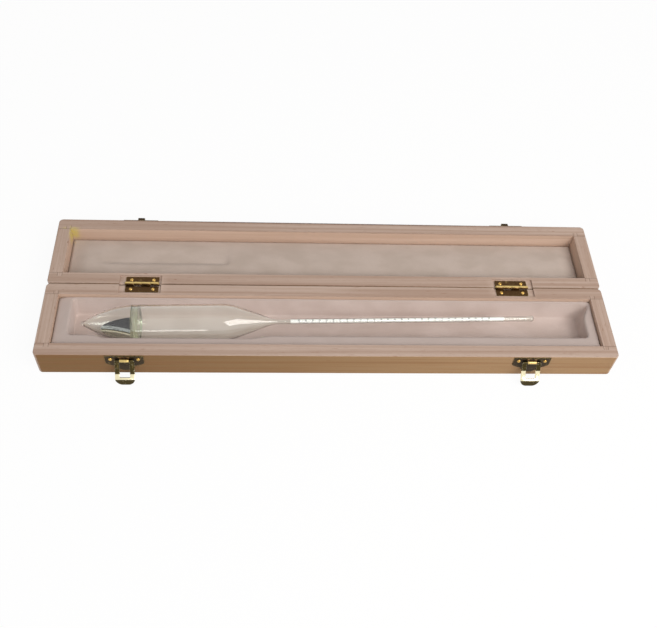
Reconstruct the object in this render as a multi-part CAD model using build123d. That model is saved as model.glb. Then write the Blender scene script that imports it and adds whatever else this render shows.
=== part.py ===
from build123d import *
import math
import os

# Cased hydrometer, open on a table. Millimetres, +Z up.
# The origin is the centre of the case base's underside. +X runs along the case towards the stem's
# end, and +Y towards the lid, which lies open behind the base.

# Wooden case
case_height = 21.5
wall = 9.5
corner_radius = 3.0
edge_ease = 0.5
tongue_thickness = 3.2
tongue_length = 3.0
panel_thickness = 2.5
panel_rebate = 4.5
panel_play = 0.1
seam_gap = 0.3

# Hinges
hinge_inset = 66.6
leaf_length = 23.4
leaf_reach = 6.8
leaf_thickness = 0.65
leaf_corner = 0.8
barrel_radius = 1.4
knuckle_count = 4
knuckle_gap = 0.15
knuckle_relief = 0.2
hinge_pin_radius = 0.6
pin_play = 0.05
pin_head_radius = 0.95
pin_head_height = 0.35
pin_head_round = 0.28
mortise_outer_margin = 4.4
mortise_inner_margin = 1.7
mortise_reach = 7.7
mortise_rise = 1.0
barrel_groove_play = 0.3
hinge_screw_spacing = 15.6
hinge_screw_reach = 4.1

# Latches
latch_inset_left = 59.9
latch_inset_right = 61.2
sheet = 0.5
plate_drop = 0.4
wing_half_width = 12.9
wing_height = 8.6
plate_neck_half_width = 6.3
plate_neck_drop = 3.0
plate_height = 17.0
plate_corner = 0.5
plate_sweep_radius = 12.0
plate_tab_round = 4.4
latch_screw_spacing = 18.5
latch_screw_drop = 4.3
pivot_drop = 4.8
pivot_radius = 0.65
pivot_play = 0.1
tongue_half_width = 3.1
tongue_slit = 0.25
tongue_root = 0.4
tongue_wrap = 240.0
tongue_hole_margin = 0.9
loop_sheet = 0.8
loop_half_width = 6.6
loop_window_half_width = 3.45
loop_window_length = 12.4
loop_end_bar = 1.3
loop_bow = 0.8
loop_lip_angle = 25.0
loop_swing = 146.0
loop_table_gap = 0.2
loop_end_radius = 5.2
loop_top_overhang = 0.45
catch_tab_height = 13.0
nose_half_width = 2.4
nose_start = 1.0
nose_reach = 4.4
nose_crest = 2.4
nose_rise = 0.8
nose_flat = 0.8
nose_round = 1.08
nose_window_play = 0.7

# Screws
hinge_screw_head_radius = 1.3
hinge_screw_head_height = 0.55
latch_screw_head_radius = 1.4
latch_screw_head_height = 0.9
screw_shank_radius = 0.8
screw_length = 6.0
screw_play = 0.03
recess_reach = 0.75
recess_width = 0.4
recess_depth = 0.35

# Lined foam insert of the base
soft_play = 0.3
strip_drop = 3.0
lining = 0.6
left_block = 10.0
right_block = 7.5
front_strip = 9.8
bulb_bay_strip = 7.5
back_wedge_top = 1.1
back_wedge_foot = 4.1
pocket_corner = 3.0
lining_edge = 1.2
bay_end_play = 6.0

# Padded lid
cover = 0.6
pad_gap = 0.9
pad_crown = 2.2

# Hydrometer
hydrometer_length = 320.4
bulb_radius = 12.9
nose_length = 39.0
shoulder_start = 103.0
cone_length = 30.0
stem_radius = 1.9
glass = 1.0
stem_glass = 0.45
tip_radius = 1.6
shoulder_round = 35.0
stem_blend = 20.0
stem_end_flat = 0.18
stem_bead_radius = 2.2
tip_clear = 7.3
end_clear = 35.8
back_gap = 4.05
seat_gap = 0.3
side_gap = 0.35
yaw = 1.35
partition_start = 35.4
partition_thickness = 5.2
partition_dish = 1.5
ballast_drop = 6.2
ballast_play = 0.05
scale_lead = 12.0
scale_tail = 22.4
scale_play = 0.1
scale_paper = 0.15

# Places that several pieces share
case_length = 2 * wall + left_block + right_block + tip_clear + hydrometer_length + end_clear
case_depth = 2 * wall + bulb_bay_strip + side_gap + 2 * bulb_radius + back_gap + back_wedge_foot
scale_start = shoulder_start + cone_length + scale_lead
scale_length = hydrometer_length - scale_tail - scale_start
scale_radius = stem_radius - stem_glass - scale_play
hinge_y = case_depth / 2 + seam_gap / 2
hinge_z = case_height + seam_gap / 2
lid_y = case_depth + seam_gap
inner_x = case_length / 2 - wall
inner_y = case_depth / 2 - wall
front_y = -case_depth / 2
strip_top = case_height - strip_drop
floor_z = panel_thickness + lining
pocket_left = -inner_x + left_block
pocket_right = inner_x - right_block
pocket_front = -inner_y + front_strip
bay_front = -inner_y + bulb_bay_strip
axis_z = floor_z + seat_gap + bulb_radius
tip_x = pocket_left + tip_clear
tip_y = bay_front + side_gap + bulb_radius - nose_length * math.sin(math.radians(yaw))
hinge_centres = {"left": -case_length / 2 + hinge_inset, "right": case_length / 2 - hinge_inset}
latch_centres = {
    "left": -case_length / 2 + latch_inset_left,
    "right": case_length / 2 - latch_inset_right,
}
plate_top = case_height - plate_drop
pivot_y = front_y - sheet - pivot_radius - pivot_play
pivot_z = case_height - pivot_drop
lid_flip = Pos(0, hinge_y, hinge_z) * Rot(-180, 0, 0) * Pos(0, -hinge_y, -hinge_z)

pieces = {}


# Case carcass

def on_outer_rim(edge):
    """True for an edge on the top or bottom rim that isn't the inner long one."""
    middle = edge.center()
    on_rim = min(middle.Z, case_height - middle.Z) < 0.01
    return on_rim and abs(middle.Y) > inner_y + 0.01


def panel_space():
    """The rebate that the thin panel is let into, open at the case's underside."""
    length = case_length - 2 * wall + 2 * panel_rebate
    depth = case_depth - 2 * wall + 2 * panel_rebate
    return Pos(0, 0, panel_thickness / 2) * Box(length, depth, panel_thickness)


def corner_tongue(end, side):
    """The tongue of an end board that sits in a groove of the rail."""
    x = end * (inner_x + tongue_thickness / 2)
    y = side * (inner_y + tongue_length / 2)
    return Pos(x, y, case_height / 2) * Box(tongue_thickness, tongue_length, case_height)


def long_rail(side):
    """A full-length rail with rounded outer corners, grooved for both end boards."""
    centre = Pos(0, side * (inner_y + wall / 2), case_height / 2)
    rail = centre * Box(case_length, wall, case_height)
    outer = [e for e in rail.edges().filter_by(Axis.Z) if abs(e.center().Y) > inner_y + 0.01]
    rail = fillet(outer, corner_radius)
    rail = fillet([e for e in rail.edges() if on_outer_rim(e)], edge_ease)
    for end in (-1, 1):
        rail = rail - corner_tongue(end, side)
    return rail - panel_space()


def end_board(end):
    """An end board between the rails, with a tongue at each end and an eased outer face."""
    centre = Pos(end * (inner_x + wall / 2), 0, case_height / 2)
    board = centre * Box(wall, 2 * inner_y, case_height)
    outer = [
        e for e in board.edges().filter_by(Axis.Y) if abs(e.center().X) > case_length / 2 - 0.01
    ]
    board = fillet(outer, edge_ease)
    for side in (-1, 1):
        board = board + corner_tongue(end, side)
    return board - panel_space()


def thin_panel():
    """The thin panel that closes one half of the case."""
    length = case_length - 2 * wall + 2 * panel_rebate - 2 * panel_play
    depth = case_depth - 2 * wall + 2 * panel_rebate - 2 * panel_play
    return Pos(0, 0, panel_thickness / 2) * Box(length, depth, panel_thickness)


def hinge_mortise(name, side):
    """The recess cut in a rail for one hinge leaf, wider towards the case's end."""
    left = mortise_outer_margin if name == "left" else mortise_inner_margin
    right = mortise_inner_margin if name == "left" else mortise_outer_margin
    width = leaf_length + left + right
    depth = mortise_reach + seam_gap / 2
    height = barrel_radius + mortise_rise
    x = hinge_centres[name] + (right - left) / 2
    y = hinge_y + side * depth / 2
    recess = Pos(x, y, hinge_z - barrel_radius + height / 2) * Box(width, depth, height)
    groove_radius = barrel_radius + barrel_groove_play
    groove = Pos(x, hinge_y, hinge_z) * Rot(0, 90, 0) * Cylinder(groove_radius, width)
    return recess + groove


def screw_hole(radius, length):
    """A blind hole along -Z from the origin."""
    return Pos(0, 0, -length / 2) * Cylinder(radius, length)


def cross_recess(head_height):
    """The driver's recess: two crossed slots cut down into a head's crown."""
    across = Box(2 * recess_reach, recess_width, 2 * recess_depth)
    along = Box(recess_width, 2 * recess_reach, 2 * recess_depth)
    return Pos(0, 0, head_height) * (across + along)


def screw(head_radius, head_height, length):
    """A cross-recess dome-head wood screw along -Z, with its head seated on the origin's plane."""
    dome = (head_radius ** 2 + head_height ** 2) / (2 * head_height)
    brow = dome * math.sin(math.asin(head_radius / dome) / 2)
    brow_height = head_height - dome + math.sqrt(dome ** 2 - brow ** 2)
    point_start = 2 * screw_shank_radius - length
    with BuildSketch() as section:
        with BuildLine():
            Line((0, -length), (0, head_height))
            ThreePointArc((0, head_height), (brow, brow_height), (head_radius, 0))
            Line((head_radius, 0), (screw_shank_radius, 0))
            Line((screw_shank_radius, 0), (screw_shank_radius, point_start))
            Line((screw_shank_radius, point_start), (0, -length))
        make_face()
    return revolve(Plane.XZ * section.sketch, Axis.Z, 360) - cross_recess(head_height)


# Hinges

def knuckle_span(index):
    """The start and end of one knuckle along the pin, measured from the hinge's middle."""
    pitch = leaf_length / knuckle_count
    start = -leaf_length / 2 + index * pitch + knuckle_gap / 2
    return start, start + pitch - knuckle_gap


def hinge_leaf(name, side):
    """A stamped leaf with its own two knuckles curled round the pin."""
    root = barrel_radius + knuckle_relief
    leaf_z = -barrel_radius + leaf_thickness / 2
    flat = Pos(0, side * (leaf_reach + root) / 2, leaf_z) * Box(
        leaf_length, leaf_reach - root, leaf_thickness
    )
    tips = [e for e in flat.edges().filter_by(Axis.Z) if abs(e.center().Y) > leaf_reach - 0.01]
    leaf = fillet(tips, leaf_corner)
    own = range(0, knuckle_count, 2) if side < 0 else range(1, knuckle_count, 2)
    for index in own:
        start, end = knuckle_span(index)
        middle = (start + end) / 2
        leaf = leaf + Pos(middle, side * root / 2, leaf_z) * Box(end - start, root, leaf_thickness)
        leaf = leaf + Pos(middle, 0, 0) * Rot(0, 90, 0) * Cylinder(barrel_radius, end - start)
    bore = Rot(0, 90, 0) * Cylinder(hinge_pin_radius + pin_play, 2 * leaf_length)
    leaf = leaf - bore
    for end in (-1, 1):
        place = Pos(end * hinge_screw_spacing / 2, side * hinge_screw_reach, 0)
        leaf = leaf - place * screw_hole(screw_shank_radius + screw_play, 2 * barrel_radius)
    return Pos(hinge_centres[name], hinge_y, hinge_z) * leaf


def hinge_pin(name):
    """A pin with a small domed head at both ends."""
    half = leaf_length / 2 + pin_play
    pin = Cylinder(hinge_pin_radius, 2 * half)
    for end in (-1, 1):
        head = Cylinder(pin_head_radius, pin_head_height)
        rim = head.edges().filter_by(GeomType.CIRCLE).sort_by(Axis.Z)[-1]
        head = fillet(rim, pin_head_round)
        turn = 0 if end > 0 else 180
        pin = pin + Rot(turn, 0, 0) * Pos(0, 0, half + pin_head_height / 2) * head
    return Pos(hinge_centres[name], hinge_y, hinge_z) * Rot(0, 90, 0) * pin


def hinge_screw_places(side):
    """Where the hinge screws of one case half sit, on top of their leaves."""
    seat_z = hinge_z - barrel_radius + leaf_thickness
    places = []
    for x in hinge_centres.values():
        for end in (-1, 1):
            step = end * hinge_screw_spacing / 2
            places.append(Pos(x + step, hinge_y + side * hinge_screw_reach, seat_z))
    return places


# Latches, drawn as seen from the front: sketch X along the case, sketch Y up

def winged_outline(top, wing, neck_drop, height, neck):
    """A plate outline hanging from its top edge: two wings that sweep in to a rounded middle tab."""
    shoulder = top - wing
    waist = shoulder - neck_drop
    foot = top - height
    tab = foot + plate_tab_round
    with BuildSketch() as sketch:
        with BuildLine():
            Line((-wing_half_width, top), (wing_half_width, top))
            Line((wing_half_width, top), (wing_half_width, shoulder))
            RadiusArc((wing_half_width, shoulder), (neck, waist), plate_sweep_radius)
            Line((neck, waist), (neck, tab))
            ThreePointArc((neck, tab), (0, foot), (-neck, tab))
            Line((-neck, tab), (-neck, waist))
            RadiusArc((-neck, waist), (-wing_half_width, shoulder), plate_sweep_radius)
            Line((-wing_half_width, shoulder), (-wing_half_width, top))
        make_face()
        corners = [v for v in sketch.vertices() if abs(v.X) > wing_half_width - 0.01]
        fillet(corners, plate_corner)
    return sketch.sketch


def on_front(sketch, height, offset):
    """A sketch raised into sheet on the case's front, from the offset outwards."""
    plane = Plane(origin=(0, front_y - offset, 0), x_dir=(1, 0, 0), z_dir=(0, -1, 0))
    return extrude(plane * sketch, height)


def latch_plate(x):
    """A winged plate whose middle tongue is cut free and curled forwards over the loop's bar."""
    plate = on_front(
        winged_outline(plate_top, wing_height, plate_neck_drop, plate_height, plate_neck_half_width),
        sheet,
        0,
    )
    root = pivot_z - tongue_root
    hole_top = plate_top - tongue_hole_margin
    hole = Pos(0, (root + hole_top) / 2) * Rectangle(
        2 * (tongue_half_width + tongue_slit), hole_top - root
    )
    plate = plate - on_front(hole, sheet, 0)
    foot = Pos(0, pivot_z - tongue_root / 2) * Rectangle(2 * tongue_half_width, tongue_root)
    plate = plate + on_front(foot, sheet, 0)
    inner = pivot_radius + pivot_play
    strip = Pos(0, inner + sheet / 2) * Rectangle(2 * tongue_half_width, sheet)
    curl = revolve(Plane.XY * strip, Axis.X, tongue_wrap)
    plate = plate + Pos(0, pivot_y, pivot_z) * curl
    plate = plate - front_screw_holes(case_height - latch_screw_drop, sheet)
    return Pos(x, 0, 0) * plate


def front_screw_places(z):
    """Where a plate's two screws sit, on the outside of its wings."""
    return [
        Pos(end * latch_screw_spacing / 2, front_y - sheet, z) * Rot(90, 0, 0) for end in (-1, 1)
    ]


def front_screw_holes(z, depth):
    """The holes for a plate's two screws, from the plate's outside inwards."""
    radius = screw_shank_radius + screw_play
    return [place * screw_hole(radius, depth) for place in front_screw_places(z)]


def loop_bend():
    """The height of the loop's bend above its pivot, with the loop shut."""
    return loop_window_length + loop_end_bar


def loop_lip():
    """The lip's length, so that the hanging loop's end just clears the table."""
    swing = math.radians(loop_swing)
    lean = math.radians(loop_swing + loop_lip_angle)
    reach = pivot_z - loop_sheet / 2 - loop_table_gap + loop_bend() * math.cos(swing)
    return reach / -math.cos(lean)


def arc_point(side_offset, end):
    """A point at one end of the loop's bowed side bars, off the sheet's middle by side_offset."""
    half = loop_bend() / 2
    radius = (half ** 2 + loop_bow ** 2) / (2 * loop_bow)
    lean = math.asin(half / radius)
    centre = radius - loop_bow
    reach = radius + side_offset
    return centre - reach * math.cos(lean), half + end * reach * math.sin(lean)


def loop_side_profile():
    """The loop's sheet seen from its side, shut: a slight bow, then the finger lip bent outwards."""
    half = loop_sheet / 2
    middle = loop_bend() / 2
    lip = loop_lip()
    lean = math.radians(loop_lip_angle)
    tip = (-lip * math.sin(lean), loop_bend() + lip * math.cos(lean))
    with BuildSketch() as sketch:
        with BuildLine():
            ThreePointArc(arc_point(half, -1), (-loop_bow - half, middle), arc_point(half, 1))
            Line(arc_point(half, 1), arc_point(-half, 1))
            ThreePointArc(arc_point(-half, 1), (-loop_bow + half, middle), arc_point(-half, -1))
            Line(arc_point(-half, -1), arc_point(half, -1))
        make_face()
        with Locations((tip[0] / 2, (loop_bend() + tip[1]) / 2)):
            Rectangle(loop_sheet, lip, rotation=loop_lip_angle)
        with Locations((0, loop_bend()), tip):
            Circle(half)
    return sketch.sketch


def latch_loop(x):
    """A sheet loop with a round pivot bar, a window for the nose and a bent finger lip."""
    total = loop_bend() + loop_lip() * math.cos(math.radians(loop_lip_angle)) + loop_sheet / 2
    side_plane = Plane(origin=(-loop_half_width, 0, 0), x_dir=(0, 1, 0), z_dir=(1, 0, 0))
    ribbon = extrude(side_plane * loop_side_profile(), 2 * loop_half_width)
    with BuildSketch() as outline:
        with Locations((0, (total - loop_top_overhang) / 2)):
            Rectangle(2 * loop_half_width, total + loop_top_overhang)
        ends = outline.vertices().group_by(Axis.Y)
        fillet(ends[-1], loop_end_radius)
        fillet(outline.vertices().group_by(Axis.Y)[0], loop_top_overhang)
        with Locations((0, loop_window_length / 2)):
            Rectangle(2 * loop_window_half_width, loop_window_length, mode=Mode.SUBTRACT)
    far = loop_half_width * 4
    cutter = extrude(Plane.XZ.offset(-far) * outline.sketch, 2 * far)
    bar_length = 2 * (loop_half_width - loop_top_overhang)
    loop = ribbon & cutter
    loop = loop + Rot(0, 90, 0) * Cylinder(pivot_radius, bar_length)
    return Pos(x, pivot_y, pivot_z) * Rot(loop_swing, 0, 0) * loop


def catch_plate(x):
    """A winged plate on the lid with a nose bowed outwards from its middle, drawn with the lid shut."""
    rim = hinge_z + seam_gap / 2
    foot = rim + plate_drop
    hanging = winged_outline(-foot, wing_height, plate_neck_drop, catch_tab_height, plate_neck_half_width)
    outline = mirror(hanging, Plane.XZ)
    plate = on_front(outline, sheet, 0)
    low = rim + nose_start
    high = pivot_z + loop_window_length - nose_window_play
    crest = low + nose_crest
    slope_start = crest + nose_flat
    with BuildSketch() as nose:
        with BuildLine():
            Line((0, low), (-nose_reach, low + nose_rise))
            Line((-nose_reach, low + nose_rise), (-nose_reach, slope_start))
            Line((-nose_reach, slope_start), (0, high))
            Line((0, high), (0, low))
        make_face()
        outer = nose.vertices().sort_by(Axis.X)[:2]
        fillet(outer, nose_round)
        offset(amount=-sheet, kind=Kind.INTERSECTION, mode=Mode.SUBTRACT)
    side_plane = Plane(origin=(-nose_half_width, front_y, 0), x_dir=(0, 1, 0), z_dir=(1, 0, 0))
    plate = plate + extrude(side_plane * nose.sketch, 2 * nose_half_width)
    plate = plate - front_screw_holes(rim + latch_screw_drop, sheet)
    return lid_flip * Pos(x, 0, 0) * plate


# Lined foam insert

def pocket(grow):
    """The open pocket of the base's insert, with every wall moved outwards by grow."""
    top = 2 * case_height
    low = floor_z - grow
    back = inner_y - back_wedge_top + grow
    back_foot = inner_y - back_wedge_foot + grow
    left = pocket_left - grow
    right = pocket_right + grow
    front = pocket_front - grow
    bay = bay_front - grow
    bay_left = tip_x + nose_length / 2 - bay_end_play - grow
    bay_right = tip_x + shoulder_start + cone_length / 2 + bay_end_play + grow
    with BuildSketch() as plan:
        with Locations(((left + right) / 2, (front + back) / 2)):
            RectangleRounded(right - left, back - front, pocket_corner)
        with Locations(((bay_left + bay_right) / 2, (bay + back) / 2)):
            RectangleRounded(bay_right - bay_left, back - bay, pocket_corner)
    block = extrude(Plane.XY.offset(low) * plan.sketch, top - low)
    with BuildSketch() as slope:
        with BuildLine():
            Line((-inner_y, low), (back_foot, low))
            Line((back_foot, low), (back, strip_top))
            Line((back, strip_top), (back, top))
            Line((back, top), (-inner_y, top))
            Line((-inner_y, top), (-inner_y, low))
        make_face()
    side_plane = Plane(origin=(-inner_x, 0, 0), x_dir=(0, 1, 0), z_dir=(1, 0, 0))
    return block & extrude(side_plane * slope.sketch, 2 * inner_x)


def insert_block(top):
    """The space inside the base's walls that the insert fills, up to the given height."""
    length = 2 * (inner_x - soft_play)
    depth = 2 * (inner_y - soft_play)
    height = top - panel_thickness
    return Pos(0, 0, panel_thickness + height / 2) * Box(length, depth, height)


def foam_pieces():
    """The two foam blocks and two foam strips that the lining is stretched over."""
    foam = insert_block(strip_top - lining) - pocket(lining)
    left = pocket_left - lining
    right = pocket_right + lining
    height = 2 * case_height
    middle = Box(right - left, inner_y * 2, height)
    front_half = Pos((left + right) / 2, -inner_y, 0) * middle
    back_half = Pos((left + right) / 2, inner_y, 0) * middle
    left_half = Pos(left - inner_x, 0, 0) * Box(2 * inner_x, 2 * inner_y, height)
    right_half = Pos(right + inner_x, 0, 0) * Box(2 * inner_x, 2 * inner_y, height)
    return {
        "foam_front_strip": foam & front_half,
        "foam_back_wedge": foam & back_half,
        "foam_left_block": foam & left_half,
        "foam_right_block": foam & right_half,
    }


def base_lining():
    """The lining cloth: over the foam, down the pocket's walls and across its floor."""
    cloth = insert_block(strip_top) - insert_block(strip_top - lining)
    walls = insert_block(strip_top - lining) & pocket(lining)
    cloth = cloth + walls - pocket(0)
    rim = [
        e
        for e in cloth.edges()
        if abs(e.center().Z - strip_top) < 0.01
        and abs(e.center().X) < inner_x - soft_play - 0.01
        and e.center().Y < pocket_front + pocket_corner
        and e.center().Y > -inner_y + soft_play + 0.01
    ]
    return fillet(rim, lining_edge)


def pad_solid(shrink, top):
    """A crowned cushion inside the lid, smaller by shrink all round, its crown at the given height."""
    half = inner_y - soft_play - shrink
    edge = top - pad_crown
    with BuildSketch() as section:
        with BuildLine():
            Line((-half, panel_thickness), (half, panel_thickness))
            Line((half, panel_thickness), (half, edge))
            ThreePointArc((half, edge), (0, top), (-half, edge))
            Line((-half, edge), (-half, panel_thickness))
        make_face()
    length = 2 * (inner_x - soft_play - shrink)
    side_plane = Plane(origin=(-length / 2, lid_y, 0), x_dir=(0, 1, 0), z_dir=(1, 0, 0))
    return extrude(side_plane * section.sketch, length)


# Hydrometer, drawn along +X from its tip, which is the origin

def envelope_face(inset, stem_inset):
    """Half of the hydrometer's lengthwise section, inset for the hollow inside."""
    bulb = bulb_radius - inset
    stem = stem_radius - stem_inset
    nose_arc = (nose_length ** 2 + bulb_radius ** 2) / (2 * bulb_radius) - inset
    start = nose_length - math.sqrt(nose_arc ** 2 - (nose_arc - bulb) ** 2)
    end = hydrometer_length - stem_inset
    middle = (start + nose_length) / 2
    bow = bulb - nose_arc + math.sqrt(nose_arc ** 2 - (nose_length - middle) ** 2)
    with BuildSketch() as face:
        with BuildLine():
            Line((end, 0), (start, 0))
            ThreePointArc((start, 0), (middle, bow), (nose_length, bulb))
            Line((nose_length, bulb), (shoulder_start, bulb))
            Line((shoulder_start, bulb), (shoulder_start + cone_length, stem))
            Line((shoulder_start + cone_length, stem), (end, stem))
            Line((end, stem), (end, 0))
        make_face()
        shoulder = [v for v in face.vertices() if abs(v.X - shoulder_start) < 0.01]
        fillet(shoulder, shoulder_round)
        neck = [v for v in face.vertices() if abs(v.X - shoulder_start - cone_length) < 0.01]
        fillet(neck, stem_blend)
        stem_end = [v for v in face.vertices() if abs(v.X - end) < 0.01 and v.Y > 0.01]
        fillet(stem_end, stem - stem_end_flat)
    return face.sketch


def inner_space():
    """The hollow inside the glass, from the tip to the sealed end of the stem."""
    return revolve(Plane.XY * envelope_face(glass, stem_glass), Axis.X, 360)


def glass_envelope():
    """The blown glass: pointed bulb, cylindrical body, cone and stem, with a sealed bead at its end."""
    outer = revolve(Plane.XY * envelope_face(0, 0), Axis.X, 360)
    bead = Pos(hydrometer_length - stem_bead_radius, 0, 0) * Sphere(stem_bead_radius)
    nib = Pos(tip_radius, 0, 0) * Sphere(tip_radius)
    return outer + bead + nib - inner_space()


def partition():
    """The thick glass wall that closes the ballast chamber, dished on both faces."""
    dish_radius = (bulb_radius ** 2 + partition_dish ** 2) / (2 * partition_dish)
    start = partition_start
    end = partition_start + partition_thickness
    across = Rot(0, 90, 0)
    slab = Pos((start + end) / 2, 0, 0) * across * Cylinder(2 * bulb_radius, partition_thickness)
    dish = across * Sphere(dish_radius)
    wall_piece = fitted_space() & slab
    wall_piece = wall_piece - Pos(start + partition_dish - dish_radius, 0, 0) * dish
    return wall_piece - Pos(end - partition_dish + dish_radius, 0, 0) * dish


def fitted_space():
    """The hollow inside the glass, less the small play that its contents keep."""
    inset = glass + ballast_play
    return revolve(Plane.XY * envelope_face(inset, stem_glass + ballast_play), Axis.X, 360)


def ballast():
    """The metal ballast, set level along the low side of the tip."""
    height = bulb_radius
    low = Pos(partition_start / 2, 0, -ballast_drop - height / 2)
    metal = fitted_space() & (low * Box(partition_start, 2 * bulb_radius, height))
    return metal - partition()


def scale_strip():
    """The rolled paper scale inside the stem."""
    tube = Cylinder(scale_radius, scale_length) - Cylinder(scale_radius - scale_paper, scale_length)
    return Pos(scale_start + scale_length / 2, 0, 0) * Rot(0, 90, 0) * tube


# Assembly: base

rail_hole = screw_hole(screw_shank_radius + screw_play, screw_length)
base_rail_holes = [place * rail_hole for place in hinge_screw_places(-1)]
lid_rail_holes = [place * rail_hole for place in hinge_screw_places(1)]
latch_holes = []
catch_holes = []
for x in latch_centres.values():
    for hole in front_screw_holes(case_height - latch_screw_drop, screw_length):
        latch_holes.append(Pos(x, 0, 0) * hole)
    for hole in front_screw_holes(hinge_z + seam_gap / 2 + latch_screw_drop, screw_length):
        catch_holes.append(lid_flip * Pos(x, 0, 0) * hole)

to_lid = Pos(0, lid_y, 0)
base_hinge_rail = long_rail(1)
lid_hinge_rail = to_lid * long_rail(-1)
for name in hinge_centres:
    base_hinge_rail = base_hinge_rail - hinge_mortise(name, -1)
    lid_hinge_rail = lid_hinge_rail - hinge_mortise(name, 1)

pieces["base_front_rail"] = long_rail(-1) - latch_holes
pieces["base_hinge_rail"] = base_hinge_rail - base_rail_holes
pieces["base_left_end"] = end_board(-1)
pieces["base_right_end"] = end_board(1)
pieces["base_panel"] = thin_panel()
pieces.update(foam_pieces())
pieces["base_lining"] = base_lining()

# Assembly: lid

pieces["lid_hinge_rail"] = lid_hinge_rail - lid_rail_holes
pieces["lid_front_rail"] = to_lid * long_rail(1) - catch_holes
pieces["lid_left_end"] = to_lid * end_board(-1)
pieces["lid_right_end"] = to_lid * end_board(1)
pieces["lid_panel"] = to_lid * thin_panel()
pad_top = 2 * hinge_z - (axis_z + bulb_radius + pad_gap)
pieces["lid_pad_foam"] = pad_solid(cover, pad_top - cover)
pieces["lid_pad_cover"] = pad_solid(0, pad_top) - pad_solid(cover, pad_top - cover)

# Assembly: hinges and their screws

for name in hinge_centres:
    pieces[f"hinge_leaf_base_{name}"] = hinge_leaf(name, -1)
    pieces[f"hinge_leaf_lid_{name}"] = hinge_leaf(name, 1)
    pieces[f"hinge_pin_{name}"] = hinge_pin(name)
hinge_screw = screw(hinge_screw_head_radius, hinge_screw_head_height, screw_length)
pieces["hinge_screws_base"] = Compound([place * hinge_screw for place in hinge_screw_places(-1)])
pieces["hinge_screws_lid"] = Compound([place * hinge_screw for place in hinge_screw_places(1)])

# Assembly: latches and their screws

latch_screw = screw(latch_screw_head_radius, latch_screw_head_height, screw_length)
latch_screws = []
catch_screws = []
for name, x in latch_centres.items():
    pieces[f"latch_plate_{name}"] = latch_plate(x)
    pieces[f"latch_loop_{name}"] = latch_loop(x)
    pieces[f"catch_plate_{name}"] = catch_plate(x)
    for place in front_screw_places(case_height - latch_screw_drop):
        latch_screws.append(Pos(x, 0, 0) * place * latch_screw)
    for place in front_screw_places(hinge_z + seam_gap / 2 + latch_screw_drop):
        catch_screws.append(lid_flip * Pos(x, 0, 0) * place * latch_screw)
pieces["latch_screws"] = Compound(latch_screws)
pieces["catch_screws"] = Compound(catch_screws)

# Assembly: hydrometer, lying level with its stem turned a little towards the hinges

lying = Pos(tip_x, tip_y, axis_z) * Rot(0, 0, yaw)
pieces["glass_envelope"] = lying * glass_envelope()
pieces["ballast_partition"] = lying * partition()
pieces["ballast"] = lying * ballast()
pieces["scale_paper"] = lying * scale_strip()

os.makedirs("parts", exist_ok=True)
for name, piece in pieces.items():
    export_step(piece, f"parts/{name}.step")
    print(name, round(piece.volume, 2))
print("hinge axis", hinge_y, hinge_z)
print("loop pivot", pivot_y, pivot_z, "lip", loop_lip())
print("hydrometer tip", tip_x, tip_y, axis_z, "pad top", pad_top)
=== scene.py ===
"""The looks of a glass hydrometer in its wooden case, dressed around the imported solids.

Lengths are in metres, and in millimetres in the classes that say so. +X runs along the case to the
stem's end, and +Y from the latches to the hinges and on to the open lid.
"""

import logging
import math
import random
from dataclasses import dataclass
from enum import Enum

import bmesh
import bpy
import numpy as np
from mathutils import Matrix, Vector, noise


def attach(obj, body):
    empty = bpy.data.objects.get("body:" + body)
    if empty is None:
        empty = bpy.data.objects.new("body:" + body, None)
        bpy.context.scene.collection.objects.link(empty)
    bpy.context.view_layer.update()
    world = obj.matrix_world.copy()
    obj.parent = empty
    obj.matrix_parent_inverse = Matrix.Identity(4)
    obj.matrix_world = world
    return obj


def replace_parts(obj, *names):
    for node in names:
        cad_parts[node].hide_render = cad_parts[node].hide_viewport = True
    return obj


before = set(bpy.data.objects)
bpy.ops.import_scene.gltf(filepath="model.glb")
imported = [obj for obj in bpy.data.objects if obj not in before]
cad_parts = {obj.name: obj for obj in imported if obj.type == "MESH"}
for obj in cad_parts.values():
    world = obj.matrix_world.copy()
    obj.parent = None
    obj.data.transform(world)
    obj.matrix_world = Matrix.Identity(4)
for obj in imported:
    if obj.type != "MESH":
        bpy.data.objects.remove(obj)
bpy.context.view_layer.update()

MM = 0.001
WELD_REACH = 0.001 * MM
SHARP_ANGLE = math.radians(35)

Colour = tuple[float, float, float]
Triple = tuple[float, float, float]
Socket = bpy.types.NodeSocket

log = logging.getLogger("hydrometer")


def paint(red: int, green: int, blue: int) -> Colour:
    """A colour as the light it returns.

    Args:
        red: How red it looks on a screen, 0 to 255.
        green: How green it looks, 0 to 255.
        blue: How blue it looks, 0 to 255.

    Returns:
        The three shares of light, 0 to 1.
    """
    shares = []
    for level in (red, green, blue):
        share = level / 255
        shares.append(share / 12.92 if share <= 0.04045 else ((share + 0.055) / 1.055) ** 2.4)
    return tuple(shares)


class Grain(Enum):
    """Which way a board's grain runs."""

    ALONG_CASE = 0
    ACROSS_CASE = 1


class Head(Enum):
    """Which way a screw's head looks at rest."""

    UP = "up"
    FORWARD = "forward"
    BACK = "back"


@dataclass(frozen=True)
class Layer:
    """How a pattern lays one colour over another: where it starts, where it is full, and how much shows."""

    start: float
    full: float
    most: float = 1.0


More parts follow.
